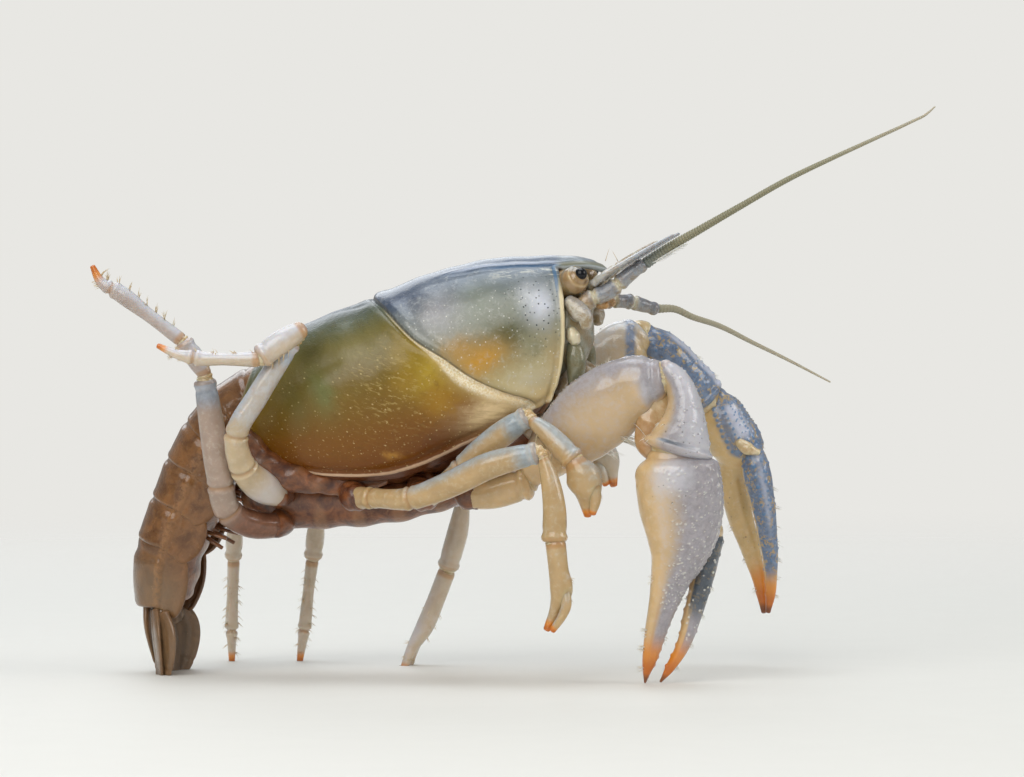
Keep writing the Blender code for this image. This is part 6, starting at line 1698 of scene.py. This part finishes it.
# Where bristles stand on each length: share from and to, angle and its spread, how many, length and lean.
BRISTLE_ROWS = (
    ("claw_right", "palm", (
        (0.5, 0.72, -0.15, 0.3, 22, 0.35, 0.6), (0.76, 0.96, -0.1, 0.4, 70, 0.55, 0.1),
        (0.64, 0.95, 3.0, 0.4, 30, 0.3, 0.2))),
    ("claw_right", "finger", ((0.3, 0.95, 3.1, 0.5, 34, 0.38, 0.5), (0.3, 0.9, 0.0, 0.4, 26, 0.25, 0.3))),
    ("claw_right", "arm", ((0.4, 0.95, 3.1, 0.3, 16, 0.3, 0.6), (0.45, 0.7, -0.1, 0.5, 40, 1.8, 0.7))),
    ("claw_right", "wrist", ((0.8, 0.98, 0.2, 0.9, 24, 0.5, 0.8),)),
    ("claw_left", "finger", ((0.25, 0.95, 3.0, 0.5, 60, 0.5, 0.3),)),
    ("claw_left", "palm", ((0.1, 0.3, 3.0, 0.4, 20, 0.4, 0.6), (0.45, 0.95, 0.0, 0.5, 40, 0.35, 0.4))),
    ("claw_left", "wrist", ((0.6, 0.95, 3.0, 0.5, 20, 0.4, 0.6),)),
    ("leg5_right", "foot", ((0.12, 0.92, 0.0, 0.5, 60, 0.85, 0.5), (0.7, 0.95, 3.1, 0.5, 14, 0.4, 0.7))),
    ("leg4_right", "foot", ((0.05, 0.85, 0.0, 0.6, 30, 0.45, 0.7), (0.5, 0.95, 3.1, 0.5, 14, 0.35, 0.7))),
    ("leg5_right", "shank", ((0.5, 0.95, 3.1, 0.6, 40, 0.6, 0.8),)),
    ("leg4_right", "shank", ((0.5, 0.95, 3.1, 0.6, 40, 0.5, 0.8),)),
    ("leg3_right", "hand", ((0.3, 0.9, 3.1, 0.6, 30, 0.4, 0.6),)),
    ("leg2_right", "hand", ((0.3, 0.9, 3.1, 0.6, 30, 0.4, 0.6),)),
    ("leg2_right", "shank", ((0.3, 0.9, 0.0, 0.6, 26, 0.9, 0.6),)),
    ("leg3_left", "hand", ((0.3, 0.9, 0.0, 3.1, 50, 0.4, 0.6),)),
    ("leg4_left", "foot", ((0.1, 0.9, 0.0, 3.1, 80, 0.5, 0.6),)),
    ("leg5_left", "foot", ((0.1, 0.9, 0.0, 3.1, 80, 0.5, 0.6),)),
)


def bristle_blades(roots, ways, lengths, width, unwraps, pales):
    """Bristles as three-sided blades: root + way length t + droop t squared, width (1 - t) to the 0.7."""
    t = np.linspace(0.0, 1.0, 5)
    side = unit(np.cross(ways, (0.3, 0.5, 1.0)))
    other = np.cross(ways, side)
    droop = np.array((0.0, 0.0, -0.18))
    line = (roots[:, None] + ways[:, None] * (lengths[:, None] * t)[..., None]
            + (lengths[:, None] * t**2)[..., None] * droop)
    angle = np.array((0.0, 2.0, 4.0)) * pi / 3.0
    ring = np.cos(angle)[:, None] * side[:, None] + np.sin(angle)[:, None] * other[:, None]
    thin = width * np.maximum(1.0 - t, 0.04) ** 0.7
    points = line[:, :, None] + ring[:, None] * thin[None, :, None, None]
    count = len(roots)
    first = np.arange(count)[:, None, None] * 15 + np.arange(4)[None, :, None] * 3
    k, nxt = np.arange(3), (np.arange(3) + 1) % 3
    quads = np.stack([first + k, first + nxt, first + 3 + nxt, first + 3 + k], axis=3).reshape(-1, 4)
    base = np.arange(count)[:, None] * 15
    ends = np.concatenate([base + np.array((2, 1, 0)), base + np.array((12, 13, 14))])
    patch = np.stack([np.cos(angle), np.sin(angle)], axis=1) * 0.0015
    unwrap = unwraps[:, None, None] + patch[None, None] * np.ones((1, 5, 1, 1))
    return points.reshape(-1, 3), [quads, ends], {"pale": np.repeat(pales, 15)}, unwrap.reshape(-1, 2)


class CRAYFISH_OT_bristles(bpy.types.Operator):
    """Sets fine bristles along the claws and legs and beside the beak and the right feeler's scale."""

    bl_idname = "crayfish.bristles"
    bl_label = "Bristles"

    def execute(self, context):
        chance = np.random.default_rng(21)
        roots, ways, lengths, unwraps, pales = [], [], [], [], []
        rows = [(limb, part, *row) for limb, part, group in BRISTLE_ROWS for row in group]
        for n, (limb, part, low, high, angle, spread, number, length, lean) in enumerate(rows):
            on_claw = limb in CLAWS
            table, facing = (CLAWS[limb][0], ACROSS) if on_claw else LEGS[limb]
            skin = carry(table[part], facing, 80, 40)
            share = chance.uniform(low, high, number)
            tufts = np.round(share * number / 6.0) * 6.0 / number
            share = np.clip(share * 0.2 + tufts * 0.8, 0.0, 1.0)
            turn = angle + chance.uniform(-spread, spread, number)
            row = 7 + np.round(share * 79).astype(int)
            column = np.round((turn + pi) / (2.0 * pi) * 40).astype(int) % 40
            normal = skin.normal[row, column]
            roots.append(skin.points[row, column] - normal * 0.03)
            ways.append(unit(normal + skin.along[row] * lean + chance.normal(0.0, 0.16, (number, 3))))
            lengths.append(length * chance.uniform(0.5, 1.15, number))
            pales.append(np.full(number, 0.85 if on_claw else 0.15))
            tile = np.array((n % 5, n // 5)) / 5.0
            part_of_turn = (turn + pi) % (2.0 * pi) / (2.0 * pi)
            unwraps.append(tile + np.stack([share, part_of_turn], axis=1) * 0.19)
        fringe = 90
        along = np.linspace(0.0, 1.0, fringe)
        roots.append(np.stack([10.2 + 2.3 * along, np.full(fringe, -4.6), 31.8 + 1.35 * along], axis=1))
        ways.append(unit(np.array((0.9, -0.05, 0.36)) + chance.normal(0.0, 0.05, (fringe, 3))))
        lengths.append(chance.uniform(0.7, 1.2, fringe) * (1.0 - 0.3 * along))
        unwraps.append(np.stack([0.82 + 0.17 * along, np.full(fringe, 0.95)], axis=1))
        spikes = np.array(((6.95, -3.0, 31.9), (7.85, -3.6, 31.9)))
        roots.append(spikes)
        ways.append(unit(np.array(((0.25, 0.0, 1.0), (-0.45, 0.0, 1.0)))))
        lengths.append(np.array((1.25, 1.2)))
        unwraps.append(np.array(((0.9, 0.9), (0.93, 0.9))))
        pales.append(np.append(np.ones(fringe), (0.0, 0.0)))
        blades = bristle_blades(*(np.concatenate(some) for some in (roots, ways, lengths)),
                                sizes().hair_width / MM, np.concatenate(unwraps), np.concatenate(pales))
        add_piece("bristles", blades[:3], material_once(bristle_glaze), (), blades[3])
        return {"FINISHED"}


class CRAYFISH_OT_head(bpy.types.Operator):
    """Builds the face under the shield's front edge and the leg-like outer jaws."""

    bl_idname = "crayfish.head"
    bl_label = "Head"

    def execute(self, context):
        plates = material_once(head_glaze)
        rows = [(f, 0.0, u, wide * 0.96, deep * 0.96) for f, u, wide, deep in FACE]
        face = carry(rows_in_body(rows), AXES[2], 100, 80, (0.4, 0.5))
        raise_skin(face, 0.1 * np.sin(3.2 * face.from_root()) * np.sin(4.0 * face.angle))
        face.mark(warm=0.35 + 0.3 * np.sin(3.2 * face.from_root() + 3.0 * face.angle), moss=0.6)
        bits = [tube_mesh(face)]
        for sign in (-1.0, 1.0):
            for table, kind in FACE_BITS:
                bit = carry(rows_in_body(table, sign), AXES[1], 40, 32, (0.8, 0.8))
                raise_skin(bit, 0.02 * np.sin(4.0 * bit.from_root() + 2.0 * np.sin(2.0 * bit.angle)))
                blue = 0.5 * step(bit.facing((0.3, 0.0, 1.0)), 0.4, 0.8) * (kind == "foot")
                bit.mark(cool=blue, pearl=0.9 * (kind == "pearl"), moss=0.75 if kind == "cheek" else 0.15,
                         warm=0.9 if kind == "gland" else 0.3)
                bits.append(tube_mesh(bit))
        add_piece("face_plates", joined(bits), plates, ("face",))
        for side, sign in SIDES:
            parts = []
            for table, rings in ((JAW_LEG, 70), (JAW_PALP, 50)):
                jaw = carry(rows_in_body(table, sign), AXES[1], rings, 32)
                furrow, mark = knuckles(jaw, (0.55,), 0.8)
                raise_skin(jaw, furrow)
                jaw.mark(warm=0.4 + 0.5 * mark)
                parts.append(tube_mesh(jaw))
            add_piece(f"outer_jaw_{side}", joined(parts), plates, (f"jaw_leg_{side}",))
        return {"FINISHED"}


FLOOR_RINGS = 24
FLOOR_SIDES = 96
# Each light: place, size, power and colour.
LIGHTS = {
    "sky_panel": ((-0.02, 0.06, 0.42), 0.3, 0.85, (0.86, 0.93, 1.0)),
    "front_panel": ((-0.16, -0.38, 0.28), 0.4, 1.6, (1.0, 0.98, 0.94)),
    "side_panel": ((0.36, -0.1, 0.2), 0.2, 0.45, (1.0, 0.98, 0.95)),
    "back_panel": ((-0.1, 0.4, 0.25), 0.26, 0.35, (0.92, 0.96, 1.0)),
}
SOFT_LIGHT = 0.38
CAMERA_AIM = (0.0, SHIFT_Y * MM, 0.0216)
CAMERA_AWAY = 0.4
CAMERA_TILT = radians(1.0)
CAMERA_LENS = 187.5


def aim(piece, target):
    """Turns a light or the camera so that it looks at the target."""
    piece.rotation_euler = (Vector(target) - piece.location).to_track_quat("-Z", "Y").to_euler()


class CRAYFISH_OT_stage(bpy.types.Operator):
    """Sets the pale floor, soft lights, the surroundings and the camera at the photograph's angle."""

    bl_idname = "crayfish.stage"
    bl_label = "Stage"

    def execute(self, context):
        scene = context.scene
        rings = np.linspace(0.0, 1.0, FLOOR_RINGS) ** 1.5 * sizes().floor_radius
        angle = np.linspace(0.0, 2.0 * pi, FLOOR_SIDES, endpoint=False)
        points = np.stack([np.outer(rings[1:], np.cos(angle)), np.outer(rings[1:], np.sin(angle)),
                           np.zeros((FLOOR_RINGS - 1, FLOOR_SIDES))], axis=2).reshape(-1, 3)
        points = np.concatenate([[(0.0, 0.0, 0.0)], points])
        k = np.arange(FLOOR_SIDES)
        nxt = (k + 1) % FLOOR_SIDES
        inner = 1 + np.arange(FLOOR_RINGS - 2)[:, None] * FLOOR_SIDES
        outer = inner + FLOOR_SIDES
        quads = np.stack([inner + k, outer + k, outer + nxt, inner + nxt], axis=2)
        faces = quads.reshape(-1, 4).tolist() + np.stack([np.zeros_like(k), 1 + k, 1 + nxt], axis=1).tolist()
        mesh = bpy.data.meshes.new("floor")
        mesh.from_pydata(points.tolist(), [], faces)
        mesh.materials.append(material_once(floor_paint))
        floor = bpy.data.objects.new("floor", mesh)
        scene.collection.objects.link(floor)
        world = bpy.data.worlds.new("surroundings")
        world.use_nodes = True
        tree = world.node_tree
        seen = tree.nodes["Background"]
        seen.inputs[0].default_value = (*finishes().air, 1.0)
        soft = tree.nodes.new("ShaderNodeBackground")
        soft.inputs[0].default_value = (*finishes().air, 1.0)
        soft.inputs[1].default_value = SOFT_LIGHT
        blend = tree.nodes.new("ShaderNodeMixShader")
        path = tree.nodes.new("ShaderNodeLightPath")
        tree.links.new(path.outputs["Is Camera Ray"], blend.inputs[0])
        tree.links.new(soft.outputs[0], blend.inputs[1])
        tree.links.new(seen.outputs[0], blend.inputs[2])
        tree.links.new(blend.outputs[0], tree.nodes["World Output"].inputs[0])
        scene.world = world
        scene.view_settings.view_transform = "Standard"
        for name, (place, size, power, colour) in LIGHTS.items():
            lamp = bpy.data.lights.new(name, "AREA")
            lamp.size = size
            lamp.energy = power
            lamp.color = colour
            holder = bpy.data.objects.new(name, lamp)
            holder.location = place
            aim(holder, (0.0, 0.0, 0.02))
            scene.collection.objects.link(holder)
        lens = bpy.data.cameras.new("camera")
        lens.lens = CAMERA_LENS
        lens.sensor_width = 36.0
        lens.clip_start = 0.01
        camera = bpy.data.objects.new("camera", lens)
        away = Vector((0.0, -CAMERA_AWAY * cos(CAMERA_TILT), CAMERA_AWAY * sin(CAMERA_TILT)))
        camera.location = Vector(CAMERA_AIM) + away
        aim(camera, CAMERA_AIM)
        scene.collection.objects.link(camera)
        scene.camera = camera
        return {"FINISHED"}


class CRAYFISH_PT_panel(bpy.types.Panel):
    """Lists the steps that build the crayfish, in order."""

    bl_idname = "CRAYFISH_PT_panel"
    bl_label = "Burrowing Bog Crayfish"
    bl_space_type = "VIEW_3D"
    bl_region_type = "UI"
    bl_category = "Crayfish"

    def draw(self, context):
        for group in (sizes(), finishes()):
            for name in group.bl_rna.properties.keys():
                if name not in ("rna_type", "name"):
                    self.layout.prop(group, name)
        for step_class in STEPS:
            self.layout.operator(step_class.bl_idname)


STEPS = (CRAYFISH_OT_shield, CRAYFISH_OT_underside, CRAYFISH_OT_tail, CRAYFISH_OT_claws, CRAYFISH_OT_legs,
         CRAYFISH_OT_joints, CRAYFISH_OT_feelers, CRAYFISH_OT_eyes, CRAYFISH_OT_head, CRAYFISH_OT_bristles,
         CRAYFISH_OT_stage)
CLASSES = (CrayfishSizes, CrayfishFinishes) + STEPS + (CRAYFISH_PT_panel,)


def register():
    for item in CLASSES:
        bpy.utils.register_class(item)
    bpy.types.Scene.crayfish_sizes = bpy.props.PointerProperty(type=CrayfishSizes)
    bpy.types.Scene.crayfish_finishes = bpy.props.PointerProperty(type=CrayfishFinishes)


def unregister():
    del bpy.types.Scene.crayfish_finishes
    del bpy.types.Scene.crayfish_sizes
    for item in reversed(CLASSES):
        bpy.utils.unregister_class(item)


def main():
    """Registers the add-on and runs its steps."""
    register()
    bpy.ops.crayfish.shield()
    bpy.ops.crayfish.underside()
    bpy.ops.crayfish.tail()
    bpy.ops.crayfish.claws()
    bpy.ops.crayfish.legs()
    bpy.ops.crayfish.joints()
    bpy.ops.crayfish.feelers()
    bpy.ops.crayfish.eyes()
    bpy.ops.crayfish.head()
    bpy.ops.crayfish.bristles()
    bpy.ops.crayfish.stage()


if __name__ == "__main__":
    main()
